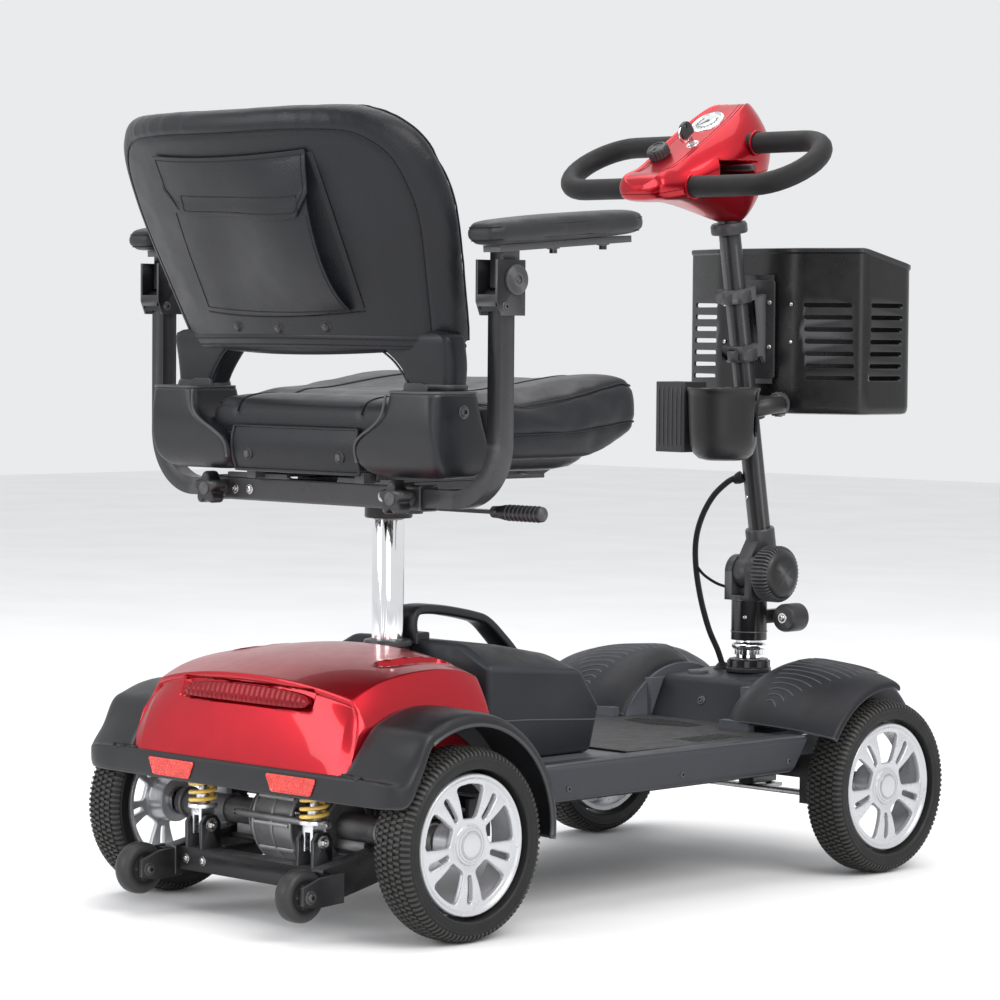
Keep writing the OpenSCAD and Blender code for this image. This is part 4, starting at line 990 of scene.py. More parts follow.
def make_rear_fenders():
    """Fender, bumper skirt and the other fender in one sweep of the same section."""
    section = [(171, 128.6), (190, 129), (214, 128.4), (234, 127.4), (243, 125.8), (248, 123), (250, 119.5),
               (250.4, 116), (250.2, 113.6)]
    stations = []
    for a in (186, 172, 156, 140, 124, 108, 92, 78, 66, 58):
        stations.append([polar(x, r, a, 0, 108) for x, r in section])
    stations.append([(171, 86, 196.5), (190, 85.5, 196), (212, 84.5, 195), (231, 82, 193.6), (240, 80.5, 192),
                     (246.5, 79, 188), (249.4, 78, 183.5), (250, 77, 176), (249.5, 75.5, 171.5)])
    stations.append([(169, 101, 175.5), (188, 101.5, 174.8), (208, 101, 173.8), (228, 98.5, 172.8), (238, 95.8, 171.8),
                     (245, 94, 169.5), (248.4, 92.6, 165), (249, 92.2, 154), (248, 91, 147.5)])
    stations.append([(160, 103.5, 171), (175, 104.6, 171), (192, 106, 170.8), (208, 106.8, 170.4), (218, 107, 169.8),
                     (226, 106.6, 167.8), (229.5, 105.8, 164.5), (230, 104.8, 150), (228.6, 103.4, 144)])
    for x in (186, 150, 110, 70, 30):
        y = 110.2 - 3.4 * (x / 190) ** 2
        stations.append([(x - 6, y - 8, 170.8), (x - 5, y - 6, 171), (x - 4, y - 4.2, 171), (x - 3, y - 2.4, 170.8),
                         (x - 2, y - 1.1, 170.2), (x, y - 0.2, 168.4), (x, y, 165.5), (x, y, 149), (x, y - 1.2, 143.4)])
    half = [np.array(s) for s in stations]
    flip = np.array((-1.0, 1.0, 1.0))
    full = half + [s * flip for s in half[::-1]]
    rows = smooth_curve(full, 6)
    wide = []
    for r in rows:
        wide.append([tuple(p) for p in smooth_curve([q for q in r], 3)])
    part = Part().grid(wide)
    o = to_object("rear_fender_moulding", part, "fender_plastic", 60)
    m = o.modifiers.new("wall", "SOLIDIFY")
    m.thickness = 0.0035
    m.offset = -1
    m.use_even_offset = False
    bake(o)
    piece("rear_fender_moulding", o, "fender_plastic", "chassis", replaces="rear_fenders")
    lip = Part()
    for side in (1, -1):
        path = [polar(side * 249.2, 114.6, a, 0, 108) for a in range(184, 58, -4)]
        lip.tube(path, 2.1, 10)
    piece("fender_beading", lip, "fender_plastic", "chassis")
    # inner wheel-arch walls close the gap to the red shell
    walls = Part()
    for side in (1, -1):
        rows = []
        for i in range(31):
            a = 188 - 132 * i / 30
            rows.append([polar(side * 171.5, 127.5, a, 0, 108), polar(side * 173.6, 127, a, 0, 108),
                         polar(side * 173.6, 108, a, 0, 108), polar(side * 171.5, 108, a, 0, 108)])
        walls.grid(rows, wrap_u=True, caps=True)
    piece("arch_liners", walls, "fender_plastic", "chassis", smooth=60)
    # two prism reflectors let into the skirt
    glass, frame_ring = Part(), Part()
    for side in (1, -1):
        def at(x, z, off):
            return (side * x, 110.2 - 3.4 * (x / 190) ** 2 + off, z)
        outline = round_corners([(58, 164.4), (131, 164.4), (123.5, 147.8), (66, 147.8)], 2.2, 4)
        path = [at(x, z, 0.9) for x, z in outline]
        frame_ring.tube(path, 1.1, 8, closed=True)
        glass.grid([[at(x, z, -1.6) for x, z in outline], [at(x, z, 1.3) for x, z in outline]], wrap_u=True, caps=True)
        for i in range(13):
            for j in range(4):
                z = 150.3 + 4 * j
                lo, hi = 58 + (164.4 - z) * 0.48 + 2.2, 131 - (164.4 - z) * 0.45 - 2.2
                x = lo + (hi - lo) * (i + (0.5 if j % 2 else 0)) / 13
                if x + 2.6 > hi:
                    continue
                glass.add([at(x, z - 1.9, 1.2), at(x + 5, z - 1.9, 1.2), at(x + 5, z + 1.9, 1.2), at(x, z + 1.9, 1.2),
                           at(x + 2.5, z, 2.5)], [(0, 1, 4), (1, 2, 4), (2, 3, 4), (3, 0, 4), (3, 2, 1, 0)])
    piece("reflector_prisms", glass, "reflector", "chassis", replaces="reflectors", smooth=20)
    piece("reflector_frames", frame_ring, "reflector", "chassis")


make_rear_fenders()


def hull_object(name, points, material):
    bm = bmesh.new()
    for p in metres(points):
        bm.verts.new(p)
    bmesh.ops.convex_hull(bm, input=bm.verts)
    bmesh.ops.dissolve_limit(bm, angle_limit=math.radians(4), verts=bm.verts, edges=bm.edges)
    bmesh.ops.recalc_face_normals(bm, faces=bm.faces)
    mesh = bpy.data.meshes.new(name)
    bm.to_mesh(mesh)
    bm.free()
    mesh.materials.append(MAT[material])
    mesh.polygons.foreach_set("use_smooth", [True] * len(mesh.polygons))
    o = bpy.data.objects.new(name, mesh)
    scene.collection.objects.link(o)
    return o


def make_battery():
    outer = [(-141, 160.5), (-141, 264), (-286, 250), (-314, 211), (-300, 160.5)]
    inner = [(-141, 160.5), (-141, 286.5), (-200, 281), (-278, 266.5), (-317, 213), (-304, 160.5)]
    points = [(s * 130, y, z) for y, z in outer for s in (1, -1)] + [(s * 84, y, z) for y, z in inner for s in (1, -1)]
    o = hull_object("battery_box", points, "deck_plastic")
    bevel(o, 7, 4, 12)
    bake(o)
    shade(o.data, 40)
    piece("battery_box", o, "deck_plastic", "battery", replaces="battery_case")
    seam = Part()
    for side in (1, -1):
        seam.tube([(side * 130.1, y, z) for y, z in ((-143, 205), (-200, 203), (-307, 196))], 0.9, 6)
    seam.tube([(130, -307.5, 196), (84, -311.5, 196), (-84, -311.5, 196), (-130, -307.5, 196)], 0.9, 6)
    piece("battery_seam", seam, "black_plastic", "battery")
    socket = Part().lathe([(0.01, 0), (11, 0), (11, 3.5), (9.6, 4.6), (7.5, 4.6), (7.5, 1.5), (0.01, 1.5)], (0, 0, 0), "x", 40)
    socket.v = [(x + 129.4, y - 235, z + 188) for x, y, z in socket.v]
    piece("charge_port", socket, "black_plastic", "battery")
    path = smooth_curve([(0, -143, 283), (0, -139.8, 300), (0, -144, 313), (0, -157, 317), (0, -190, 314.5),
                         (0, -236, 306), (0, -256, 299), (0, -278, 281), (0, -297, 262), (0, -301, 249)], 7)
    wide = []
    for i, p in enumerate(path):
        t = i / (len(path) - 1)
        wide.append((16.5 + 1.5 * math.cos(2 * math.pi * t), 5.6))
    part = Part()
    rows = []
    pts = [np.array(p) for p in path]
    tangents = np.gradient(np.array(pts), axis=0)
    for p, t, (w, h) in zip(pts, tangents, wide):
        t = t / np.linalg.norm(t)
        n = np.array((0, -t[2], t[1]))
        row = []
        for k in range(24):
            a = 2 * math.pi * k / 24
            c, s = math.cos(a), math.sin(a)
            row.append(tuple(p + np.array((1, 0, 0)) * w * math.copysign(abs(c) ** 0.45, c)
                             + n * h * math.copysign(abs(s) ** 0.6, s)))
        rows.append(row)
    part.grid(rows, wrap_u=True, caps=True)
    piece("carry_handle", part, "fender_plastic", "battery", replaces="battery_handle", smooth=50)
    base = Part().prism(round_corners([(-20, -139), (-20, -160), (20, -160), (20, -139)], 3), 280, 293, "z")
    base.prism(round_corners([(-20, -288), (-20, -306), (20, -306), (20, -288)], 3), 238, 259, "z")
    piece("handle_feet", base, "fender_plastic", "battery", rounding=(2, 3))


make_battery()

# ---------- suspension, drive and anti-tip wheels ----------

shown("swing_frame", "frame_paint", 1.0)
shown("transaxle", "drive_alloy", 1.4)
shown("shock_clevises", "alloy", 0.8)
SPRING_X, SPRING_Y = 88, 71


def make_undercarriage():
    coils = Part()
    for side in (1, -1):
        path = []
        turns, low, high = 5.2, 118.4, 163.4
        for i in range(int(turns * 28) + 1):
            a = 2 * math.pi * i / 28
            t = i / (turns * 28)
            z = low + (high - low) * (0.5 - 0.5 * math.cos(math.pi * t)) * 0.15 + (high - low) * t * 0.85
            path.append((side * SPRING_X + 13.4 * math.cos(a), SPRING_Y + 13.4 * math.sin(a), z))
        coils.tube(path, 2.3, 10)
    o = piece("coil_springs", coils, "spring_paint", "rear_axle", replaces="springs", smooth=60)
    tuple(metres([(0, SPRING_Y, 116)])[0])
    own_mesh(o)
    damper, bolts, black = Part(), Part(), Part()
    for side in (1, -1):
        x = side * SPRING_X
        damper.lathe([(0.01, 112), (15.4, 112), (15.8, 113), (15.8, 115), (14.8, 116.2), (8, 116.4), (7, 119),
                      (7, 126), (6, 127), (0.01, 127)], (x, SPRING_Y, 0), "z", 40)
        for s in (1, -1):
            hex_bolt(bolts, (x + s * 14, SPRING_Y, 94), (s, 0, 0), 5, 4.5, dome=False)
            hex_bolt(black, (side * 127 + s * 17, 126, 48), (s, 0, 0), 4.6, 4)
        hex_bolt(bolts, (side * 97, 60.5 + 25.6, 57), (0, 1, 0), 3.2, 2.6)
        hex_bolt(bolts, (side * 70, 60.5 + 25.6, 57), (0, 1, 0), 3.2, 2.6)
    piece("shock_seats", damper, "alloy", "rear_axle")
    piece("shock_bolts", bolts, "bolt_steel", "rear_axle", slot="steel")
    piece("caster_bolts", black, "black_bolt", "rear_axle", slot="frame_paint")
    rods = Part()
    for side in (1, -1):
        rods.tube([(side * SPRING_X, SPRING_Y, 110), (side * SPRING_X, SPRING_Y, 158)], 4.4, 20)
    piece("damper_rods", rods, "bolt_steel", "rear_axle", slot="alloy")
    cups = Part()
    for side in (1, -1):
        cups.lathe([(0.01, 171), (15.6, 171), (16, 170), (16, 166.4), (14.6, 166.2), (14.6, 169), (0.01, 169)],
                   (side * SPRING_X, SPRING_Y, 0), "z", 40)
    piece("spring_cups", cups, "frame_paint", "chassis", slot="frame_paint")
    # ribs, cover bolts and the motor's end cap on the gearbox
    ribs, screws = Part(), Part()
    for k in range(10):
        a = 36 * k
        p = [(x, 46.5 * cosd(a), 100 + 46.5 * sind(a)) for x in (-21, 33)]
        ribs.tube(p, 2.2, 6)
    for x in (-23.5, 6, 35.5):
        ring = [(x, 45.5 * cosd(a), 100 + 45.5 * sind(a)) for a in range(0, 360, 8)]
        ribs.tube(ring, (2.6, 2.0), 8, closed=True, up=(1, 0, 0))
    for k in range(6):
        a = 60 * k + 20
        hex_bolt(screws, (36.5, 39 * cosd(a), 100 + 39 * sind(a)), (1, 0, 0), 2.8, 2.4)
        hex_bolt(screws, (-24.5, 39 * cosd(a), 100 + 39 * sind(a)), (-1, 0, 0), 2.8, 2.4)
    for x in (-62, -55, 52, 58, 120, -120, 192, -192):
        ring = [(x, (15.6 if abs(x) > 90 else 30.4) * cosd(a), 100 + (15.6 if abs(x) > 90 else 30.4) * sind(a))
                for a in range(0, 360, 10)]
        ribs.tube(ring, (2.0, 1.4), 8, closed=True, up=(1, 0, 0))
    piece("gearbox_ribs", ribs, "drive_alloy", "rear_axle", smooth=60)
    piece("gearbox_screws", screws, "bolt_steel", "rear_axle", slot="steel")
    motor = Part()
    motor.lathe([(0.01, -103), (22, -103), (28.6, -99.5), (30.4, -95), (30.4, -22), (0.01, -22)], (0, -58, 104), "x", 64)
    for x in range(-90, -30, 8):
        ring = [(x, -58 + 30.4 * cosd(a), 104 + 30.4 * sind(a)) for a in range(0, 360, 8)]
        motor.tube(ring, (1.6, 1.2), 6, closed=True, up=(1, 0, 0))
    piece("drive_motor", motor, "frame_paint", "rear_axle", smooth=40)
    brace = Part().tube([(-84, 46, 107), (64, 46, 107)], 3.2, 14)
    piece("brake_rod", brace, "bolt_steel", "rear_axle", slot="steel")
    for side, tag in ((1, "left"), (-1, "right")):
        wheel = Part().lathe([(4.1, -11.5), (9, -11.5), (9.6, -9), (13, -8.2), (15.5, -8.6), (17, -10.2), (21.5, -11),
                              (25, -9.6), (27, -6.4), (27.5, -2.5), (27.5, 2.5), (27, 6.4), (25, 9.6), (21.5, 11),
                              (17, 10.2), (15.5, 8.6), (13, 8.2), (9.6, 9), (9, 11.5), (4.1, 11.5)],
                             (side * 127, 126, 48), "x", 72)
        for k in range(5):
            for s in (1, -1):
                a = 72 * k
                c = (side * 127 + s * 8.5, 126 + 11.6 * cosd(a), 48 + 11.6 * sind(a))
                wheel.tube([(c[0], c[1] - 0.01, c[2]), (c[0] + s * 1.2, c[1], c[2])], 1.5, 8)
        piece("antitip_roller_" + tag, wheel, "caster_rubber", "antitip_wheel_" + tag,
              replaces="antitip_wheel_" + tag[0], smooth=40)


make_undercarriage()

# ---------- steering ----------

for tag in "lr":
    shown("knuckle_" + tag, "steel", 0.6)
shown("tie_rod", "steel", 0.6)
shown("steering_column", "frame_paint", 0.9)
STEER_Y, FOLD_Z = -714, 333
TILLER = [Vector((0, -735.5, 362)), Vector((0, -668, 752))]
TILLER_DIR = (TILLER[1] - TILLER[0]).normalized()
TILLER_TURN = Vector((0, 0, 1)).rotation_difference(TILLER_DIR).to_matrix()
FACE_LEAN = 36


def on_tiller(h):
    return TILLER[0] + TILLER_DIR * h


def make_steering():
    chrome = Part().lathe([(10.2, 230), (15.2, 230), (15.2, 240), (17, 241), (20.2, 242), (20.8, 243.2), (20.8, 246),
                           (19.6, 247.6), (16, 248.4), (15.4, 250), (15.4, 252), (10.2, 252)], (0, STEER_Y, 0), "z", 64)
    for k in range(14):
        a = 2 * math.pi * k / 14
        c, s = math.cos(a), math.sin(a)
        tooth = [(14.6, -2.1), (19.6, -1.5), (19.6, 1.5), (14.6, 2.1)]
        chrome.prism([(c * u - s * w, STEER_Y + s * u + c * w) for u, w in tooth], 234.5, 240.6, "z")
    piece("head_bearing", chrome, "chrome", "steering", replaces="steering_bearing", rounding=(0.4, 2), smooth=35)
    nut = Part()
    nut.lathe([(16, 213.2), (26.6, 213.2), (27.2, 214.2), (27.2, 218), (26, 219), (23.8, 219.4), (23.8, 228.4),
               (23, 229.2), (16, 229.4)], (0, STEER_Y, 0), "z", 64)
    for k in range(10):
        a = 2 * math.pi * (k + 0.5) / 10
        c, s = math.cos(a), math.sin(a)
        nut.prism([(c * u - s * w, STEER_Y + s * u + c * w) for u, w in ((20.5, -3), (26, -3), (26, 3), (20.5, 3))],
                  219.2, 227, "z")
    piece("castle_nut", nut, "frame_paint", "chassis", rounding=(0.5, 2))
    lever = Part().lathe([(0.01, 5.5), (5.2, 5.5), (5.2, 4), (13.4, 4), (13.8, 1.6), (15.4, 0.3), (16.8, 1.4), (17, 4),
                          (17, 26), (15.6, 29.4), (12, 30), (0.01, 30)], (-46, -752, 280), "y", 56)
    piece("lock_roller", lever, "black_plastic", "lock_lever", replaces="lock_lever", smooth=40)
    bolt = hex_bolt(Part(), (-46, -746.5, 280), (0, -1, 0), 3.4, 3)
    piece("lock_roller_bolt", bolt, "bolt_steel", "lock_lever", slot="steel")
    rear = hex_bolt(Part(), (-46, -721.6, 280), (0, 1, 0), 4.2, 3)
    piece("lock_roller_cap", rear, "bolt_steel", "lock_lever", slot="steel")
    knob = Part().lathe([(5, -24), (27, -24), (29.5, -26), (30.2, -30), (30.2, -48), (29, -51.5), (25.5, -54.2),
                         (20, -55.4), (10, -56), (0.01, -56.1), (0.01, -30), (5, -30)], (0, STEER_Y, FOLD_Z), "x", 96)
    for k in range(44):
        a = 360 * k / 44
        r = []
        for x, rr in ((-27.5, 29.5), (-29, 32.2), (-31, 33.8), (-47, 33.8), (-49.5, 32.4), (-51.5, 29.5)):
            r.append([(x, STEER_Y + q * cosd(a + b), FOLD_Z + q * sind(a + b))
                      for b, q in ((-2.3, rr - 4), (-1.5, rr), (1.5, rr), (2.3, rr - 4))])
        knob.grid(r, wrap_u=True, caps=True)
    knob.tube([(-33, STEER_Y, FOLD_Z), (-11, STEER_Y, FOLD_Z)], 4.9, 20)
    piece("fold_wheel", knob, "black_plastic", "fold_knob", replaces="fold_knob", smooth=40)
    trim = Part()
    for z in (262, 300):
        ring = [(21.7 * cosd(a), STEER_Y + 21.7 * sind(a), z) for a in range(0, 360, 8)]
        trim.tube(ring, (0.8, 0.8), 6, closed=True)
    piece("column_beads", trim, "frame_paint", "steering")
    screw = hex_bolt(Part(), (21.6 * cosd(118), STEER_Y + 21.6 * sind(118), 280), (cosd(118), sind(118), 0), 2.6, 2.2,
                     washer=False)
    piece("column_screw", screw, "bolt_steel", "steering", slot="steel")
    # the fork's round cheek on the left
    cheek = Part().lathe([(0.01, 21.3), (16, 21.3), (19, 20.6), (20.6, 18.6), (20.9, 16), (20.9, 10.6), (0.01, 10.6)],
                         (0, STEER_Y, FOLD_Z), "x", 64)
    piece("fork_cheek", cheek, "frame_paint", "steering")
    head = Part().lathe([(0.01, 21.5), (9.5, 21.5), (10, 22.5), (10, 27), (8.8, 29), (0.01, 29.4)], (0, STEER_Y, FOLD_Z), "x", 40)
    piece("pivot_bolt_head", head, "black_bolt", "steering", slot="frame_paint", smooth=40)


make_steering()


def make_tiller():
    shown("tiller_tube", "frame_paint", 0.6)
    shown("basket_bracket", "frame_paint", 0.8)
    shown("cup_bracket", "black_plastic", 0.8)
    beads = Part()
    for side in (1, -1):
        beads.tube([tuple(on_tiller(6) + Vector((side * 11.6, 4.6, 0))), tuple(on_tiller(368) + Vector((side * 11.6, 4.6, 0)))],
                   1.7, 8)
    piece("tiller_beads", beads, "frame_paint", "tiller", smooth=60)
    sleeve = Part().lathe([(13.1, -10), (17.4, -10), (17.8, -8), (17.8, 18), (16.8, 20), (13.1, 20)], (0, 0, 0), "z", 48,
                          turn=TILLER_TURN)
    at = on_tiller(4)
    sleeve.v = [(x + at.x, y + at.y, z + at.z) for x, y, z in sleeve.v]
    piece("tiller_sleeve", sleeve, "frame_paint", "tiller")
    button = hex_bolt(Part(), tuple(on_tiller(62) + Vector((4, 12.5, 0))), (0.3, 1, 0.1), 2.6, 1.8, washer=False)
    piece("tiller_pin", button, "bolt_steel", "tiller", slot="steel")


make_tiller()


def head_rows():
    """Console sections from the rear end to the front: half outlines from the top centre to the bottom centre."""
    def row(y, top, face, rim, hip, low, bottom, foot):
        # face: half width of the flat face; rim: its outer bevel; hip: the widest place; low, foot: lower shell
        return [(0, y, top + 0.8), (face * 0.5, y, top + 0.6), (face, y, top), (face + 2.6, y + 0.4, top + 1.4),
                (rim[0], y, rim[1]), (hip[0], y, hip[1]), (low[0], y, low[1]), (foot, y, bottom + 1), (0, y, bottom)]
    rows = [row(-509, 794, 20, (26, 792), (29, 787), (25, 779), 777, 16),
            row(-513, 801, 24, (32, 798), (36, 789), (31, 775.5), 772, 20),
            row(-524, 805.5, 25, (33, 802), (38, 790), (33, 774), 770.5, 22),
            row(-538, 809, 26, (35, 804), (40, 792), (36, 775), 771, 24),
            row(-556, 819.5, 27.5, (39, 811), (45, 797), (40, 779), 772, 25),
            row(-580, 835.5, 29.5, (44, 824), (52, 807), (46, 786), 770, 25),
            row(-610, 855, 31, (48, 842), (59, 820), (53, 795), 763, 24),
            row(-640, 874, 29, (47, 861), (62, 832), (55, 803), 755, 22),
            row(-662, 888, 24, (42, 874), (60, 841), (54, 806), 750, 21),
            row(-676, 892.5, 19, (36, 880), (56, 845), (50, 804), 749, 19),
            row(-690, 887, 15, (30, 876), (49, 846), (43, 806), 757, 15),
            row(-702, 872, 11, (22, 864), (37, 844), (32, 812), 778, 11),
            row(-707, 856, 7, (13, 852), (21, 842), (19, 820), 800, 7)]
    return rows


def split_by(o, name, place, normal, gap):
    """Cuts an object by a plane into an upper and a lower closed half."""
    halves = []
    for sign, tag in ((1, "upper"), (-1, "lower")):
        bm = bmesh.new()
        bm.from_mesh(o.data)
        at = Vector(metres([place])[0]) + Vector(normal) * sign * gap / 2000
        geom = bm.verts[:] + bm.edges[:] + bm.faces[:]
        out = bmesh.ops.bisect_plane(bm, geom=geom, plane_co=at, plane_no=Vector(normal) * sign, clear_inner=True)
        edges = [e for e in out["geom_cut"] if isinstance(e, bmesh.types.BMEdge)]
        bmesh.ops.triangle_fill(bm, use_beauty=True, edges=edges)
        bmesh.ops.recalc_face_normals(bm, faces=bm.faces)
        mesh = bpy.data.meshes.new(name + "_" + tag)
        bm.to_mesh(mesh)
        bm.free()
        mesh.materials.append(o.data.materials[0])
        shade(mesh, 40)
        h = bpy.data.objects.new(name + "_" + tag, mesh)
        scene.collection.objects.link(h)
        halves.append(h)
    bpy.data.objects.remove(o)
    return halves


LOOP_AT = Vector((0, -604, 816))
LOOP_TURN = Matrix.Rotation(math.radians(-31), 3, "X")


def loop_path(r_side=52, half=131, steps=16):
    flat = [(half * k / 6, -r_side, 0) for k in range(-6, 7)]
    flat += [(half + r_side * cosd(-90 + 180 * k / steps), r_side * sind(-90 + 180 * k / steps), 0)
             for k in range(1, steps)]
    flat += [(half * k / 6, r_side, 0) for k in range(6, -7, -1)]
    flat += [(-half + r_side * cosd(90 + 180 * k / steps), r_side * sind(90 + 180 * k / steps), 0)
             for k in range(1, steps)]
    return [tuple(LOOP_AT + LOOP_TURN @ Vector(p)) for p in flat]


def make_head():
    rows = head_rows()
    # close both ends
    first, last = rows[0], rows[-1]
    mid_z = 786
    rows = [[(x * 0.4, first[0][1] + 2.0, mid_z + (z - mid_z) * 0.4) for x, y, z in first]] + rows
    rows.append([(x * 0.3, last[0][1] - 1.0, 830 + (z - 830) * 0.3) for x, y, z in last])
    o = cage(rows, "red_gloss", "console",
             [("col", 2, 0.6), ("col", 3, 0.55), ("col", 5, 0.15), ("row", 2, 0.25)], 3)
    bm = bmesh.new()
    bm.from_mesh(o.data)
    bmesh.ops.holes_fill(bm, edges=[e for e in bm.edges if e.is_boundary], sides=0)
    bmesh.ops.recalc_face_normals(bm, faces=bm.faces)
    bm.to_mesh(o.data)
    bm.free()
    normal = Vector((0, 0.19, 0.982)).normalized()
    halves = split_by(o, "console", (0, -600, 797), normal, 0.7)
    slot = Part()
    slot.prism(round_corners([(-97, -654), (97, -654), (97, -592), (-97, -592)], 6), 803.4, 821.6, "z")
    cut(halves[0], slot)
    piece("console_upper", halves[0], "red_gloss", "tiller", replaces="head_upper")
    piece("console_lower", halves[1], "red_gloss", "tiller", replaces="head_lower")
    # raised lines that frame the face
    surface = Surface([halves[0]])
    lines = Part()
    for side in (1, -1):
        for inset in (0, 5.2):
            path = []
            for y, w in ((-528, 22), (-545, 24.5), (-560, 26.5), (-585, 28.6), (-610, 29.6), (-635, 28), (-655, 24),
                         (-668, 19.5), (-676, 14)):
                path.append((side * (w - inset), y))
            path = smooth_curve([(x, y, 0) for x, y in path], 5)
            hit = [surface.drop((x, y)) for x, y, _ in path]
            lines.tube([h for h in hit if h is not None], 0.75, 8)
    piece("console_lines", lines, "red_gloss", "tiller")
    collar = Part().lathe([(13.2, -2), (21, -2), (22, 0), (22, 8), (20, 11), (13.2, 11)], (0, 0, 0), "z", 48,
                          turn=TILLER_TURN)
    at = on_tiller(384)
    collar.v = [(x + at.x, y + at.y, z + at.z) for x, y, z in collar.v]
    piece("console_collar", collar, "black_plastic", "tiller")
    grip = Part().tube(loop_path(), 12.5, 28, closed=True)
    piece("grip_loop", grip, "foam_grip", "tiller", replaces="handle_loop", smooth=60)
    rings = Part()
    for side in (1, -1):
        for y in (-52, 52):
            w = 41 if y > 0 else 61
            c = [tuple(LOOP_AT + LOOP_TURN @ Vector((side * w, y + 13.6 * cosd(a), 13.6 * sind(a))))
                 for a in range(0, 360, 12)]
            rings.tube(c, (1.6, 1.2), 8, closed=True, up=(1, 0, 0))
    piece("grip_sockets", rings, "red_gloss", "tiller")


class Surface:
    """Finds places on finished meshes, in millimetres."""

    def __init__(self, objects):
        verts, faces = [], []
        for o in objects:
            n = len(verts)
            verts += [o.matrix_world @ v.co for v in o.data.vertices]
            faces += [tuple(i + n for i in p.vertices) for p in o.data.polygons]
        self.tree = BVHTree.FromPolygons(verts, faces)

    def hit(self, origin, direction, lift=0.0):
        o = Vector(metres([origin])[0])
        place, normal, _, _ = self.tree.ray_cast(o, Vector(direction).normalized())
        if place is None:
            return None
        q = place * 1000
        q.y -= AXLE_Y
        return tuple(q + normal * lift)

    def drop(self, xy, lift=0.0):
        return self.hit((xy[0], xy[1], 1000), (0, 0, -1), lift)


make_head()


def face_frame(x, y, z):
    turn = Matrix.Rotation(math.radians(-FACE_LEAN), 3, "X")
    return turn, Vector((x, y, z))


def place_on(part, turn, at):
    part.v = [tuple(turn @ Vector(p) + at) for p in part.v]
    return part


def make_controls():
    turn, at = face_frame(0, -630, 866)
    bezel = Part().lathe([(0.01, -3), (20.4, -3), (21.4, 0), (21.4, 2.6), (20.6, 4), (18.9, 4.4), (17.6, 3.6),
                          (17.2, 2.6), (0.01, 2.6)], (0, 0, 0), "z", 72)
    piece("gauge_ring", place_on(bezel, turn, at), "gauge_bezel", "tiller", replaces="gauge", smooth=40)
    face = Part().lathe([(0.01, 2.4), (17.2, 2.4), (17.2, 3.0), (12, 3.5), (0.01, 3.7)], (0, 0, 0), "z", 64)
    piece("gauge_glass", place_on(face, turn, at), "gauge_face", "tiller", slot="gauge_bezel")
    marks = Part()
    for k in range(13):
        a = 210 - 20 * k
        long = 3.4 if k % 3 == 0 else 2.0
        marks.tube([(r * cosd(a), r * sind(a), 3.9) for r in (14.6 - long, 14.6)], 0.35, 6)
    marks.tube([(12.2 * cosd(a), 12.2 * sind(a) - 1, 3.75) for a in range(215, -36, -10)], 0.3, 6)
    marks.tube([(0, -2, 4.0), (7.4, 6.2, 4.0)], [0.9, 0.25], 8)
    marks.lathe([(0.01, 3.6), (2.2, 3.6), (2.2, 4.4), (0.01, 4.6)], (0, -2, 0), "z", 20)
    piece("gauge_marks", place_on(marks, turn, at), "dial_marks", "tiller", slot="black_plastic")
    turn, at = face_frame(16, -566, 824)
    knob = Part().lathe([(0.01, -2), (8.8, -2), (8.8, 2.6), (12.2, 3), (12.6, 4), (12.2, 14), (11.2, 15.6), (9, 16.2),
                         (8.4, 15.2), (0.01, 15.2)], (0, 0, 0), "z", 60)
    for k in range(18):
        a = 20 * k
        knob.tube([(12.3 * cosd(a), 12.3 * sind(a), z) for z in (3.8, 6, 12, 14.2)], 0.95, 8)
    knob.box((-0.8, 0.8), (3, 11), (15, 16.8))
    piece("speed_knob", place_on(knob, turn, at), "black_plastic", "speed_dial", replaces="speed_dial", smooth=40)
    turn, at = face_frame(-14, -588, 838)
    lock = Part().lathe([(0.01, -3), (8.6, -3), (8.6, 2), (7.6, 3.2), (6.1, 3.2), (6, 4.2), (0.01, 4.2)], (0, 0, 0), "z", 40)
    blade = Part().box((-0.9, 0.9), (-3.6, 3.6), (2, 15))
    bow = Part()
    outline = round_corners([(-9.5, 14), (9.5, 14), (10, 24), (6, 32), (-6, 32), (-10, 24)], [3, 3, 6, 5, 5, 6])
    bow.prism(outline, -2.6, 2.6, "x")
    bow = place_on(bow, turn, at)
    lock = place_on(lock, turn, at)
    blade = place_on(blade, turn, at)
    o = to_object("key_head", bow, "black_plastic", 35)
    hole = Part().tube([(-6, 0, 27), (6, 0, 27)], 2.6, 20)
    cut(o, place_on(hole, turn, at))
    piece("key_head", o, "black_plastic", "key", replaces="key", rounding=(0.7, 2))
    piece("key_blade", blade, "bolt_steel", "key", slot="steel", rounding=0.2)
    piece("key_lock", lock, "bolt_steel", "tiller", slot="gauge_bezel")
    ring_at = turn @ Vector((0, 0, 27)) + at
    ring = [tuple(ring_at + Vector((0.0, 9.6 * sind(a), 9.6 * cosd(a) - 8.8))) for a in range(0, 360, 8)]
    hoop = Part().tube(ring, 0.9, 10, closed=True, up=(1, 0, 0))
    piece("key_ring", hoop, "chrome", "key", slot="chrome")
    lever = Part()
    rows = []
    for i in range(41):
        x = -84 + 168 * i / 40
        y = -640 + np.interp(abs(x), [0, 16, 60, 84], [13.5, 13.5, 18, 24.5])
        w = np.interp(abs(x), [0, 20, 70, 84], [6.5, 6, 5.4, 4.2])
        h = 4.2 - 1.0 * step(abs(x), 76, 84)
        rows.append([(x, y + w * math.copysign(abs(cosd(a)) ** 0.6, cosd(a)), 812.5 + h * math.copysign(
            abs(sind(a)) ** 0.7, sind(a))) for a in range(0, 360, 18)])
    lever.grid(rows, wrap_u=True, caps=True)
    piece("throttle_wings", lever, "black_plastic", "throttle", replaces="throttle_lever", smooth=50)


make_controls()


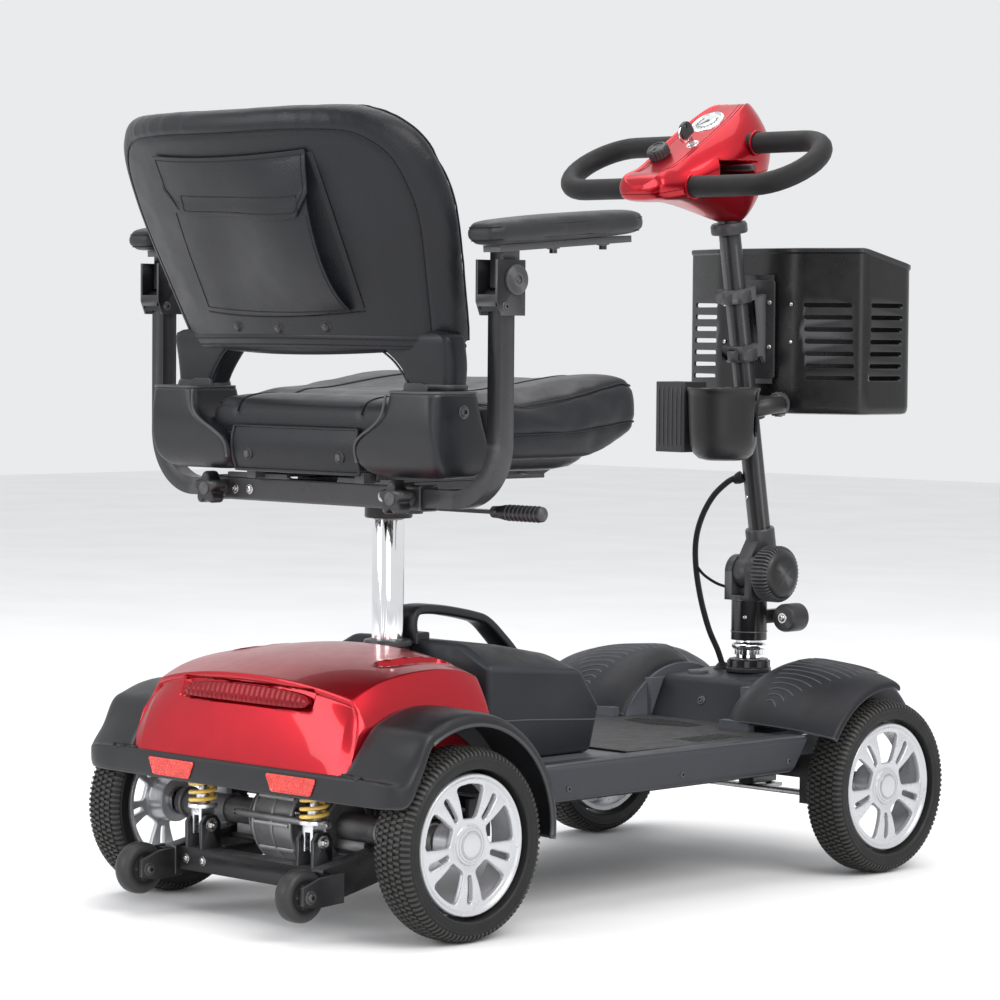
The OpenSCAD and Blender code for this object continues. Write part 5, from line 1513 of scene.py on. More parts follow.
def make_harness():
    route = [(17.5, -705.5, 446), (26, -700, 440), (39, -691, 424), (50, -684, 400), (58, -682, 372), (60, -684, 340),
             (57, -690, 300), (52, -700, 262), (46, -710, 236), (43, -716, 217)]
    lead = [(60, -684, 340), (50, -688, 328), (38, -698, 318), (26, -708, 313), (21, -712, 312)]
    part = Part().tube(smooth_curve(route, 8), 3.6, 16)
    o = to_object("harness", part, "cable_sheath", 60)
    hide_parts("tiller_cable")
    tuple(metres([(40, -700, 300)])[0])
    tuple(metres([(20, -702, 430)])[0])
    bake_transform(o)
    part = Part().tube(smooth_curve(lead, 8), 1.8, 12)
    part.lathe([(2, 309), (4, 309), (4, 314), (2, 314)], (22.5, -711, 0), "z", 20)
    o = to_object("harness_lead", part, "cable_sheath", 60)
    tuple(metres([(40, -700, 300)])[0])
    tuple(metres([(20, -702, 430)])[0])
    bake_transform(o)
    gland = Part().lathe([(3.4, -4), (7, -4), (7.4, -2), (6.8, 3), (5, 7), (3.7, 9)], (0, 0, 0), "z", 28,
                         turn=Vector((0, 0, 1)).rotation_difference(Vector((0.75, 0.42, -0.5))).to_matrix())
    gland.v = [(x + 12.5, y - 708.5, z + 446.5) for x, y, z in gland.v]
    piece("harness_gland", gland, "cable_sheath", "tiller")


make_harness()

# ---------- basket and cup holder ----------


def make_basket():
    corners = [(-60, -724), (-138, -757), (-140, -838), (-112, -868), (112, -868), (140, -838), (138, -757), (60, -724)]
    outline = round_corners(corners, [10, 9, 9, 9, 9, 9, 9, 10], 5)
    centre = np.array((0.0, -796.0))
    pts = [np.array(p) for p in outline]

    def shrunk(p, d):
        v = np.array(p) - centre
        return tuple(centre + v * (1 - d * np.array((1 / 140, 1 / 72))))

    def rim_z(y):
        return float(np.interp(-y, [724, 757, 838, 868], [722, 722, 704, 700]))
    part = Part()
    rows = []
    for p in pts:
        z1 = rim_z(p[1])
        q = [(*shrunk(p, 6.5), 524.4), (*shrunk(p, 2.4), 525.6), (*shrunk(p, 0.6), 529), (*p, 534)]
        for k in range(1, 12):
            q.append((*p, 534 + (z1 - 541) * k / 12 + 0.0))
        q += [(*p, z1 - 7), (*shrunk(p, -1.4), z1 - 5), (*shrunk(p, -1.4), z1 - 0.8), (*shrunk(p, 0.2), z1),
              (*shrunk(p, 3.0), z1), (*shrunk(p, 3.2), z1 - 3), (*shrunk(p, 2.6), 536), (*shrunk(p, 3.6), 530),
              (*shrunk(p, 8), 527)]
        rows.append(q)
    part.grid(rows, wrap_v=True)
    n, m = len(rows), len(rows[0])
    part.f.append(tuple(i * m for i in range(n))[::-1])
    part.f.append(tuple(i * m + m - 1 for i in range(n)))
    o = to_object("basket_shell", part, "basket_plastic", 30)
    slots = Part()
    for side in (1, -1):
        for x, y, turn, wide, shift in ((99, -740.9, -23, 60, -4), (139, -794, -91.4, 58, 3)):
            c, s = cosd(turn), sind(turn)
            for k in range(7):
                z = 567.7 + 14.4 * k
                off = shift * k / 6
                shape = [(-wide / 2 + off + 2.7 - 2.7 * cosd(b), z + 2.7 * sind(b)) for b in range(-90, 91, 30)]
                shape += [(wide / 2 + off - 2.7 + 2.7 * cosd(b), z + 2.7 * sind(b)) for b in range(90, -91, -30)]
                ring = []
                for d in (-8, 8):
                    ring.append([(side * (x + c * u - s * d), y + s * u + c * d, w) for u, w in shape])
                slots.grid(ring, wrap_u=True, caps=True)
    cut(o, slots)
    shade(o.data, 30)
    piece("basket_shell", o, "basket_plastic", "basket", slot="black_plastic", replaces="basket", rounding=(0.5, 2, 40))
    plate = Part()
    plate.prism(round_corners([(-30, 566), (30, 566), (30, 684), (-30, 684)], 5), -720.8, -718.4, "y")
    piece("bracket_plate", plate, "frame_paint", "tiller", rounding=(0.5, 2))
    rivets = Part()
    for x in (-23, 23):
        for z in (604, 657):
            hex_bolt(rivets, (x, -718.4, z), (0, 1, 0), 3.2, 2.2, washer=False)
    for side in (1, -1):
        for z in (610, 655):
            hex_bolt(rivets, (side * 52, -723.9, z), (0, 1, 0), 2.6, 1.9, washer=False)
    piece("basket_rivets", rivets, "bolt_steel", "basket", slot="steel")
    clamps = Part()
    for h in (236, 306):
        at = on_tiller(h)
        ring = Part().lathe([(13.1, -7), (18.4, -7), (19, -6), (19, 6), (18.4, 7), (13.1, 7)], (0, 0, 0), "z", 40,
                            turn=TILLER_TURN)
        clamps.add([(x + at.x, y + at.y, z + at.z) for x, y, z in ring.v], ring.f)
    piece("basket_clamps", clamps, "frame_paint", "tiller")


make_basket()


def make_cup_holder():
    x0, y0 = -27, -632
    cup = Part().lathe([(0.01, 470), (20, 470.2), (29, 472.5), (35, 478), (38.6, 488), (40.2, 505), (41.6, 545),
                        (42.4, 551), (43.4, 552.6), (43.6, 555), (42.8, 556), (40.8, 556), (39.6, 554), (38.6, 530),
                        (36.6, 490), (33, 480), (27, 476), (0.01, 474.5)], (x0, y0, 0), "z", 96)
    o = to_object("cup_shell", cup, "black_plastic", 40)
    a = 205
    c, s = cosd(a), sind(a)
    notch = Part()
    shape = round_corners([(-9, 498), (9, 498), (9, 580), (-9, 580)], [8.8, 8.8, 1, 1], 8)
    ring = []
    for d in (20, 60):
        ring.append([(x0 + c * d - s * u, y0 + s * d + c * u, z) for u, z in shape])
    notch.grid(ring, wrap_u=True, caps=True)
    cut(o, notch)
    shade(o.data, 40)
    piece("cup_shell", o, "black_plastic", "cup_holder", replaces="cup_holder", rounding=(0.5, 2, 40))
    phone = Part().prism(round_corners([(17, -653), (63, -653), (63, -611), (17, -611)], 4), 478.5, 562, "z")
    p = to_object("phone_pocket", phone, "black_plastic", 35)
    inner = Part().prism(round_corners([(20.5, -649.4), (59.5, -649.4), (59.5, -614.6), (20.5, -614.6)], 3), 483, 575, "z")
    cut(p, inner)
    piece("phone_pocket", p, "black_plastic", "cup_holder", rounding=(0.8, 2, 40))
    ribs = Part()
    for k in range(6):
        y = -648 + 6.4 * k
        ribs.tube([(63.1, y, z) for z in (486, 489, 552, 555)], (1.3, 1.0), 8)
    for k in range(6):
        x = 22 + 7 * k
        ribs.tube([(x, -610.9, z) for z in (486, 489, 552, 555)], (1.3, 1.0), 8)
    piece("phone_pocket_ribs", ribs, "black_plastic", "cup_holder", smooth=60)
    web = Part().prism(round_corners([(6, -642), (20, -642), (20, -622), (6, -622)], 2), 486, 540, "z")
    piece("cup_web", web, "black_plastic", "cup_holder", rounding=(1.5, 2))
    arm = Part()
    arm.tube(smooth_curve([(-59, -701, 536), (-62, -690, 536), (-60, -672, 534), (-50, -660, 530), (-40, -664, 528)], 6),
             (6.4, 10), 16)
    arm.lathe([(0.01, -60.5), (12, -60.5), (13.6, -58.5), (13.6, -47), (12, -45), (0.01, -45)], (0, -701, 536), "x", 48)
    for k in range(16):
        a = 22.5 * k
        arm.tube([(x, -701 + 13.6 * cosd(a), 536 + 13.6 * sind(a)) for x in (-58, -48)], 1.1, 6)
    piece("cup_arm", arm, "black_plastic", "cup_holder", smooth=45)


make_cup_holder()

# ---------- upholstery ----------

LEAN = 25
BACK_R = 552


def on_back(x, h, lift=0.0):
    """A place on the wrapped back: x across, h up it, lift outwards (towards the rear) from its outer face."""
    yl = -BACK_R + math.sqrt(max((BACK_R + lift) ** 2 - x * x, 1))
    return (x, 38 + yl * cosd(LEAN) + h * sind(LEAN), 606 - yl * sind(LEAN) + h * cosd(LEAN))


REARWARD = (0, -cosd(LEAN), sind(LEAN))
BACK_HALF = [(207, -23), (221, 42), (235, 116), (233, 166), (222, 202), (197, 230), (162, 246), (88, 256), (0, 258)]


def hem_height(x):
    """The backrest's lower edge droops towards its ends."""
    return -2 - 22 * (x / 216) ** 2


def back_outline(inset=0.0, n=6):
    half = smooth_curve([(x, h, 0) for x, h in BACK_HALF], n)
    pts = [(p[0], p[1]) for p in half]
    out = []
    for i, p in enumerate(pts):
        a, b = np.array(pts[max(i - 1, 0)]), np.array(pts[min(i + 1, len(pts) - 1)])
        t = (b - a) / np.linalg.norm(b - a)
        if i == len(pts) - 1:
            t = np.array((-1, 0))
        normal = np.array((-t[1], t[0]))
        out.append((p[0] + normal[0] * inset, p[1] + normal[1] * inset))
    return out


def whole_outline(half, drop=8.0, n=24):
    """Both sides of the outline and its lower edge, drop below the hem line."""
    x0 = half[0][0]
    half = [(x0, hem_height(x0) - drop)] + half[1:]
    below = [-x0 + 2 * x0 * k / n for k in range(1, n)]
    return half + [(-x, h) for x, h in half[-2::-1]] + [(x, hem_height(x) - drop) for x in below]


def puff(o, pins, voxel=5.0, pressure=4.0, frames=20, limit=6.0, stiff=18, name="pin"):
    """Remeshes a closed shape and inflates it with a cloth simulation; pins(co) gives each point's hold, 0 to 1."""
    m = o.modifiers.new("remesh", "REMESH")
    m.mode = "VOXEL"
    m.voxel_size = voxel / 1000
    bake(o)
    m = o.modifiers.new("smooth", "SMOOTH")
    m.factor, m.iterations = 0.5, 4
    bake(o)
    start = points_of(o)
    hold = pins(start)
    group = o.vertex_groups.new(name=name)
    for level in (0.25, 0.5, 0.75, 1.0):
        index = np.nonzero(np.isclose(np.round(hold * 4) / 4, level))[0]
        if len(index):
            group.add(index.tolist(), level, "REPLACE")
    c = o.modifiers.new("cloth", "CLOTH")
    s = c.settings
    s.quality = 5
    s.mass = 0.25
    s.tension_stiffness = s.compression_stiffness = stiff
    s.shear_stiffness = stiff * 0.6
    s.bending_stiffness = 2.5
    s.tension_damping = s.compression_damping = 8
    s.use_pressure = True
    s.uniform_pressure_force = pressure
    s.effector_weights.gravity = 0
    s.vertex_group_mass = name
    s.pin_stiffness = 1
    c.collision_settings.use_collision = False
    c.point_cache.frame_start, c.point_cache.frame_end = 1, frames
    for f in range(1, frames + 1):
        scene.frame_set(f)
    bake(o)
    scene.frame_set(1)
    end = points_of(o)
    move = end - start
    far = np.linalg.norm(move, axis=1)
    move *= np.minimum(1, limit / np.maximum(far, 1e-6))[:, None]
    set_points(o, start + move)
    m = o.modifiers.new("settle", "SMOOTH")
    m.factor, m.iterations = 0.5, 8
    bake(o)
    return o


def dense(line, gap=1.8):
    """The same line with points at most gap apart."""
    p = np.array(line, float)
    s = np.concatenate([[0], np.cumsum(np.linalg.norm(np.diff(p, axis=0), axis=1))])
    at = np.linspace(0, s[-1], max(2, int(s[-1] / gap)))
    return [tuple(q) for q in np.stack([np.interp(at, s, p[:, i]) for i in range(3)], 1)]


def pinch(o, lines, depth=1.4, wide=4.0):
    """Draws the surface in along sewn lines."""
    lines = [dense(l) for l in lines]
    co = points_of(o)
    tree = KDTree(sum(len(l) for l in lines))
    k = 0
    for l in lines:
        for p in l:
            tree.insert(p, k)
            k += 1
    tree.balance()
    normals = np.array([v.normal[:] for v in o.data.vertices])
    d = np.array([tree.find(p)[2] for p in co])
    co -= normals * (depth * np.exp(-(d / wide) ** 2))[:, None]
    set_points(o, co)


def project(surface, path, direction, lift=0.0, back=40):
    d = Vector(direction).normalized()
    out = []
    for p in path:
        q = surface.hit(tuple(Vector(p) - d * back), d)
        if q is not None:
            out.append(tuple(Vector(q) - d * lift))
    return out


def make_back():
    half = back_outline()
    full = whole_outline(half)
    centre = np.array((0.0, 120.0))

    def ring(d, t):
        """The outline drawn in by d, at depth t below the outer face."""
        return [on_back(x, h, -t) for x, h in whole_outline(back_outline(d), 8 - 0.35 * d)]

    rows = []
    for f in (0.12, 0.4, 0.7, 0.9):
        rows.append([on_back(*(centre + (np.array(p) - centre) * f), 0) for p in full])
    for d, t in ((19, 0.3), (11, 2.2), (4.5, 6.5), (0.8, 12.5), (0, 18), (0.8, 25), (4, 32), (11, 36.5), (20, 38.5)):
        rows.append(ring(d, t))
    for f in (0.9, 0.6, 0.3, 0.1):
        rows.append([on_back(*(centre + (np.array(p) - centre) * f * 0.92), -39.5) for p in full])
    part = Part().grid(rows, wrap_u=True, caps=True)
    o = to_object("back_pad", part, "vinyl", 180)

    def pins(co):
        # the shell behind stays put; the front and the edges may swell
        yl = (co[:, 1] - 38) * cosd(LEAN) - (co[:, 2] - 606) * sind(LEAN)
        depth = np.sqrt((yl + BACK_R) ** 2 + co[:, 0] ** 2) - BACK_R
        hold = step(depth, -14, -3)
        h = (co[:, 1] - 38) * sind(LEAN) + (co[:, 2] - 606) * cosd(LEAN)
        return np.maximum(hold, step(hem_height(co[:, 0]) - h, -14, -4))
    puff(o, pins, 5.5, 3.0, limit=4.0)
    subdivide(o, 1)
    bake(o)
    surface = Surface([o])
    seam = whole_outline(back_outline(23), -4)
    lines = [project(surface, [on_back(x, h, 10) for x, h in seam], REARWARD, 0.0)]
    # the boxing's front edge, seen over the top and along the sides
    edge = whole_outline(back_outline(0.5))
    front = []
    for x, h in edge:
        p = Vector(on_back(x, h, -28))
        mid = Vector(on_back(0, 120, -28))
        d = (mid - p).normalized()
        q = surface.hit(tuple(p - d * 30), d)
        if q is not None:
            front.append(q)
    lines.append(front)
    hem = [on_back(x, hem_height(x) + 5, 10) for x in np.linspace(-212, 212, 60)]
    lines.append(project(surface, hem, REARWARD))
    pinch(o, [l for l in lines if len(l) > 3], 1.5, 3.6)
    shade(o.data, 180)
    piece("back_pad", o, "vinyl", "backrest", slot="vinyl", replaces=("back_cushion", "back_shell"))
    threads = Part()
    surface = Surface([o])
    seam3 = project(surface, dense([on_back(x, h, 10) for x, h in seam], 4), REARWARD, 0.3)
    threads.tube(seam3, 1.0, 8)
    threads.tube(front, 1.1, 8)
    for hh in (-0.8, 6.2):
        threads.tube([on_back(x, hem_height(x) + 2 + hh, 1.45) for x in np.linspace(-211, 211, 80)], 0.55, 8)
    strip = []
    for h, up in ((10.5, -0.6), (9.4, 0.9), (4, 1.3), (-3.4, 1.5), (-5.2, 0.6), (-5.2, -2.6), (-3, -3.4)):
        w = 213.6 if h < 8 else 212.5
        strip.append([on_back(x, h + 2 + hem_height(x), up - 5.5 * (abs(x) / w) ** 26) for x in np.linspace(-w, w, 81)])
    hem_part = Part().grid([list(r) for r in zip(*strip)], wrap_u=True, caps=True)
    piece("back_hem", hem_part, "vinyl", "backrest", smooth=50)
    piece("back_seams", threads, "thread", "backrest", smooth=60)
    make_pocket(surface)
    make_legs()


def make_pocket(surface):
    w, low, high = 116, 33, 207

    def lift(x, h):
        v = np.clip((h - low) / (high - low), 0, 1)
        s = step(-x, -70, w)
        return 1.6 + 28 * s ** 1.3 * math.sin(math.pi * min(1, v * 0.98 + 0.02)) ** 0.75 * (0.55 + 0.45 * (1 - v)) \
            + 1.3 * math.sin(x * 0.045 + h * 0.03) * math.sin(math.pi * v)

    def at(x, h, extra=0.0):
        # the loose side leans in towards the middle as it stands off
        up = lift(x, h)
        return on_back(x, h, up + extra)
    n, m = 44, 34
    rows = []
    for i in range(m + 1):
        h = low + (high - low) * i / m
        rows.append([at(w - (2 * w - 3) * j / n, h) for j in range(n + 1)])
    back = [[tuple(np.array(p) - np.array(on_back(p[0], 0, 1.4)) + np.array(on_back(p[0], 0, 0))) for p in r] for r in rows]
    part = Part().grid([r + b[::-1] for r, b in zip(rows, back)], wrap_u=True, caps=True)
    o = to_object("pocket_panel", part, "vinyl", 60)
    piece("pocket_panel", o, "vinyl", "backrest")
    # the gusset folds in behind the loose edge
    rows = []
    for i in range(m + 1):
        h = low + (high - low) * i / m
        up = lift(-w + 3, h)
        rows.append([at(-w + 3.2, h, -0.4), on_back(-w + 8 + up * 0.16, h, up * 0.72), on_back(-w + 15 + up * 0.2, h, up * 0.4),
                     on_back(-w + 8, h, max(up * 0.16, 1.4)), on_back(-w - 3, h, 1.5), on_back(-w - 8, h, 1.2),
                     on_back(-w - 9, h, 0.2), on_back(-w - 2, h, 0.2), on_back(-w + 9, h, max(up * 0.1, 0.3)),
                     on_back(-w + 17 + up * 0.2, h, up * 0.36), on_back(-w + 10 + up * 0.16, h, up * 0.7),
                     at(-w + 4.8, h, -1.3)])
    gusset = Part().grid(rows, wrap_u=True, caps=True)
    piece("pocket_gusset", gusset, "vinyl", "backrest", smooth=60)
    # flap
    top, bottom, wide = 211, 147, 119

    def edge(x):
        """Lower edge of the flap, with its corners cut."""
        return bottom + 24 * max(0, (abs(x) - (wide - 21)) / 21) ** 1.0 + 1.5 * math.cos(x * 0.03)
    rows = []
    for i in range(15):
        row = []
        for j in range(49):
            x = wide - 2 * wide * j / 48
            e = edge(x)
            h = top + (e - top) * i / 14
            base = lift(max(min(x, w), -w + 3), min(h, high))
            row.append(on_back(x, h, base + 2.1 + (1.6 if i > 11 else 0.6) * (i / 14)))
        rows.append(row)
    under = [[tuple(np.array(p) - np.array(on_back(p[0], 0, 1.7)) + np.array(on_back(p[0], 0, 0))) for p in r] for r in rows]
    flap = Part().grid([r + b[::-1] for r, b in zip(rows, under)], wrap_u=True, caps=True)
    o = to_object("pocket_flap", flap, "vinyl", 60)
    piece("pocket_flap", o, "vinyl", "backrest", rounding=(0.5, 2, 50))
    face = Surface([o])
    panel = Surface([bpy.data.objects["pocket_panel"]])
    sewn = Part()

    def row_of(s, pts, n=26, r=0.55):
        path = []
        for (x0, h0), (x1, h1) in zip(pts, pts[1:]):
            for k in range(n):
                t = k / n
                path.append(on_back(x0 + (x1 - x0) * t, h0 + (h1 - h0) * t, 60))
        path.append(on_back(*pts[-1], 60))
        path = project(s, path, REARWARD, 0.15)
        if len(path) > 3:
            sewn.tube(path, r, 6)
    for y0, y1 in ((151.5, 168),):
        row_of(face, [(86, y0), (86, y1), (-104, y1), (-104, y0), (86, y0)])
    row_of(face, [(114.5, 207), (114.5, 174), (97, 152.5)])
    row_of(face, [(-114, 207), (-114, 172), (-100, 153)])
    row_of(face, [(115, 206.5), (-115, 206.5)])
    row_of(panel, [(112.5, 146), (112.5, 37), (-110, 37)])
    row_of(panel, [(-110, 37), (-110, 146)])
    row_of(surface, [(-w - 7.5, 206), (-w - 7.5, 34)])
    row_of(surface, [(w + 3, 30), (-w - 8, 30)], r=0.8)
    piece("pocket_seams", sewn, "thread", "backrest", smooth=60)
    studs = Part()
    for x in (0, 69, -69):
        p = project(surface, [on_back(x, 17, 20)], REARWARD)
        if p:
            base, turn = Vector(p[0]), Vector((0, 0, 1)).rotation_difference(
                Vector((x / BACK_R, cosd(LEAN), -sind(LEAN)))).to_matrix()
            stud = Part().lathe([(0.01, -1), (6.6, -1), (6.8, 0.2), (6.2, 0.9), (5.4, 1.0), (5.0, 1.8), (3.6, 2.9),
                                 (1.6, 3.4), (0.01, 3.5)], (0, 0, 0), "z", 32, turn=turn)
            studs.add([(a + base.x, b + base.y, c + base.z) for a, b, c in stud.v], stud.f)
    piece("back_studs", studs, "black_plastic", "backrest", smooth=50)


def rounded_loop(x0, x1, y0, y1, r, n=5):
    return round_corners([(x0, y0), (x1, y0), (x1, y1), (x0, y1)], r, n)


def make_legs():
    legs, straps = Part(), Part()
    sections = [(622, 88, 214, -22, 9, 9), (610, 102, 215, -22, 9, 10), (601, 118, 215.5, -24, 8, 12),
                (591, 131, 215.5, -26, 6.5, 13), (581, 141, 215, -27, 5.5, 13), (571, 148.5, 214, -27, 5, 13),
                (560, 153.5, 213, -26, 5, 13), (548, 157, 212, -25, 6, 12), (528, 158, 211.5, -23, 6, 11)]
    rows = []
    for z, x0, x1, y0, y1, r in sections:
        rows.append([(x, y + (4.0 if z > 600 else 2.0) * (1 - ((x - 88) / 130) ** 2), z)
                     for x, y in rounded_loop(x0, x1, y0, y1, r, 6)])
    legs.grid(rows, wrap_u=True, caps=True)
    legs.mirrored()
    o = to_object("back_legs", legs, "vinyl", 50)
    subdivide(o, 1)
    bake(o)
    piece("back_legs", o, "vinyl", "backrest")
    roll = Part()
    path = [on_back(x, -8 - 0.00018 * x * x, -17) for x in np.linspace(-124, 124, 33)]
    roll.tube(path, (14, 12), 20)
    piece("back_roll", roll, "vinyl", "backrest", smooth=60)
    # piping where the legs' covers wrap round, and strap clips
    seams = Part()
    for side in (1, -1):
        p = [(side * x, y, z) for x, y, z in ((106, 11.6, 606.5), (121, 10.3, 599), (134, 7.6, 590), (144, 5.9, 580),
                                              (151.5, 4.9, 570), (157, 4.6, 560), (161, 5.2, 548))]
        seams.tube(smooth_curve(p, 5), 1.2, 8)
        ring = [(side * (x + (0.6 if x > 180 else -0.6)), y + (0.6 if y > -10 else -0.6), 561) for x, y in rounded_loop(154.5, 213, -26, 5.4, 13, 6)]
        straps.tube(ring, (1.6, 5.0), 10, closed=True)
    piece("leg_piping", seams, "piping", "backrest", smooth=60)
    piece("leg_bands", straps, "fender_plastic", "backrest", smooth=60)
    clip = Part()
    for side in (1, -1):
        clip.prism(round_corners([(side * 150, 555), (side * 186, 555), (side * 187, 563), (side * 178, 567), (side * 152, 567)],
                                 2.5), 5.0, 9.0, "y")
    piece("strap_clips", clip, "fender_plastic", "backrest", rounding=(1.0, 2))


def make_hinges():
    def loop(x0, x1, y0, y1, z, r, dz=0):
        return [(x, y, z + dz * (y - y0) / (y1 - y0)) for x, y in rounded_loop(x0, x1, y0, y1, r, 7)]
    rows = [loop(155, 217, -29, 28, 508, 12), loop(154.5, 218, -30, 29, 540, 12), loop(154, 218.6, -31, 30.5, 555.5, 13),
            loop(150.4, 221.6, -34, 34, 557, 15), loop(150, 222, -35, 34.6, 554, 15),
            loop(149, 222.6, -36, 35.4, 544, 14), loop(146.5, 223, -38, 36, 535, 13), loop(140, 223, -40, 36, 527, 12),
            loop(129, 223, -42, 35.6, 519.5, 11), loop(115, 223, -44, 34.6, 512.5, 9), loop(104.5, 223, -45, 33, 505, 7),
            loop(100, 222.6, -46, 31.4, 496, 7), loop(99, 222, -47, 29, 487, 8), loop(102, 220, -47, 25, 479, 11),
            loop(110, 214, -44, 18, 472, 14), loop(120, 204, -38, 10, 469, 14)]
    part = Part().grid(rows, wrap_u=True, caps=True)
    part.mirrored()
    o = to_object("hinge_casings", part, "fender_plastic", 45)
    subdivide(o, 1)
    bake(o)
    # open at the front, where the backrest's legs swing through
    cut(o, Part().box((154.6, 217.6), (-70, -8), (509, 570)).mirrored())
    piece("hinge_casings", o, "fender_plastic", "seat", slot="deck_plastic" if "deck_plastic" in SLOTS else None,
          replaces="hinge_covers")
    bolts, lips = Part(), Part()
    for side in (1, -1):
        hex_bolt(bolts, (side * 222.6, -8, 538), (side, 0, 0), 4.4, 3)
        rim = [(side * x, y, z + 1.2) for x, y, z in loop(150.6, 221.4, -34, 34, 556.4, 14.5)]
        lips.tube(rim[12:] + rim[:3], 1.5, 8)
        p = [(side * x, y, z) for x, y, z in ((102, 27.6, 484), (101.5, 30.2, 496), (106, 32.6, 505), (116.5, 34.4, 512.6),
                                              (130.5, 35.4, 519.8), (141.5, 36, 527.2), (148, 35.8, 535.4), (150.5, 35, 545),
                                              (151.5, 33.6, 555))]
        lips.tube(smooth_curve(p, 5), 1.6, 8)
    piece("hinge_bolts", bolts, "black_bolt", "seat")
    piece("hinge_lips", lips, "fender_plastic", "seat", smooth=60)


def cushion_outline():
    right = [(140, 18), (141.5, -52), (150, -60), (192, -64), (203, -80), (206.5, -110), (207, -200), (205, -252)]
    front = [(460 * cosd(a), 120 + 460 * sind(a)) for a in np.linspace(296.4, 270, 12)]
    half = right + front
    return half + [(-x, y) for x, y in half[-2::-1]]


def make_cushion():
    outline = round_corners(cushion_outline(), [6, 16, 10, 14, 20, 10, 10, 20, 34] + [20] * 21
                            + [34, 20, 10, 10, 20, 14, 10, 16, 6], 4)
    pts = [np.array(p) for p in outline]
    n = len(pts)
    centre = np.array((0.0, -150.0))

    def ring(d, z):
        out = []
        for i, p in enumerate(pts):
            t = pts[(i + 1) % n] - pts[i - 1]
            t /= max(np.linalg.norm(t), 1e-6)
            normal = np.array((t[1], -t[0]))
            if normal @ (p - centre) < 0:
                normal = -normal
            q = p - normal * d
            out.append((q[0], q[1], z))
        return out
    rows = []
    for f in (0.15, 0.5, 0.85):
        rows.append([(*(centre + (p - centre) * f), 486) for p in pts])
    for d, z in ((17, 486), (8, 487), (2.5, 492), (0.4, 500), (0, 510), (0, 532), (2, 539), (6, 544.5), (13, 548), (22, 549.5)):
        rows.append(ring(d, z))
    for f in (0.84, 0.66, 0.48, 0.3, 0.14):
        rows.append([(*(centre + (p - centre) * f), 550.5) for p in pts])
    part = Part().grid(rows, wrap_u=True, caps=True)
    v = np.array(part.v)
    top = step(v[:, 2], 497, 548)
    bottom = 1 - step(v[:, 2], 487, 514)
    rise = 15 * step(-v[:, 1], 120, 290) - 7 * step(-v[:, 1], 305, 342)
    side = 6 * step(np.abs(v[:, 0]), 60, 160) * step(-v[:, 1], 60, 200)
    v[:, 2] += top * (rise + side) + bottom * 36 * step(-v[:, 1], 205, 340)
    part.v = [tuple(p) for p in v]
    o = to_object("seat_pad", part, "vinyl", 180)

    def pins(co):
        low = 1 - step(co[:, 2], 489, 497)
        back = step(co[:, 1], 6, 16)
        corner = step(np.abs(co[:, 0]), 142, 150) * step(co[:, 1], -84, -70)
        return np.maximum(np.maximum(low, back), corner)
    puff(o, pins, 5.5, 2.6, limit=5.0)
    subdivide(o, 1)
    bake(o)
    surface = Surface([o])

    def over(path, n=5):
        return [q for q in (surface.drop((p[0], p[1])) for p in smooth_curve([(x, y, 0) for x, y in path], n))
                if q is not None and q[2] > 520]
    lines = []
    for side in (1, -1):
        lines.append(over([(side * x, y) for x, y in ((97, 17), (99, -20), (108, -90), (118, -170), (116, -240),
                                                      (104, -290), (86, -325), (74, -338))], 7))
    # the top panel's own edge
    edge = []
    for p in ring(9, 0):
        q = surface.drop((p[0], p[1]))
        if q is not None:
            edge.append(q)
    lines.append(edge + edge[:1])
    mid = []
    for p in ring(-2, 0):
        y = p[1]
        z = 511 + 13 * float(step(np.array(-y), 150, 330)) + 2.0
        start = Vector((p[0], p[1], z))
        aim = Vector((0, -150, z)) - start
        aim.normalize()
        q = surface.hit(tuple(start - aim * 12), aim)
        if q is not None:
            mid.append(q)
    lines.append(mid + mid[:1])
    pinch(o, [l for l in lines if len(l) > 3], 1.5, 3.6)
    shade(o.data, 180)
    piece("seat_pad", o, "vinyl", "seat", slot="vinyl", replaces="seat_cushion")
    seams = Part()
    for l in lines:
        if len(l) > 3:
            seams.tube(l, 0.9, 8)
    piece("seat_seams", seams, "thread", "seat", smooth=60)
    # rear valance with its piping and studs
    rows = []
    for i in range(13):
        t = i / 12
        z = 517 - 46 * t
        y = 22.5 + 3.4 * math.sin(math.pi * min(1, t * 1.1)) - 2.5 * t * t
        w = 96.5 + 1.5 * math.sin(math.pi * t)
        row = [(x, y - 1.5 * (abs(x) / 97) ** 4 - 0.000002 * x * x, z) for x in np.linspace(-w, w, 41)]
        rows.append(row + [(x, yy - 3.0, zz) for x, yy, zz in row[::-1]])
    valance = Part().grid(rows, wrap_u=True, caps=True)
    piece("seat_valance", valance, "vinyl", "seat", rounding=(1.2, 2, 50), smooth=60)
    border = [rows[i][0] for i in range(0, 13)] + [rows[-1][j] for j in range(1, 41)] + \
             [rows[i][40] for i in range(11, -1, -1)]
    piping = Part().tube([(x, y + 0.2, z) for x, y, z in border], 2.0, 10)
    top_edge = [rows[0][j] for j in range(0, 41)]
    piping.tube([(x, y + 0.2, z + 0.4) for x, y, z in top_edge], 1.3, 8)
    piece("valance_piping", piping, "piping", "seat", smooth=60)
    studs = Part()
    for x in (-72, 72):
        stud = Part().lathe([(0.01, -1), (6.4, -1), (6.6, 0.3), (6.0, 1.0), (5.2, 1.1), (4.8, 1.9), (3.2, 2.9), (0.01, 3.3)],
                            (x, 24.6, 488), "y", 32)
        studs.add(stud.v, stud.f)
    piece("valance_studs", studs, "black_plastic", "seat", smooth=50)


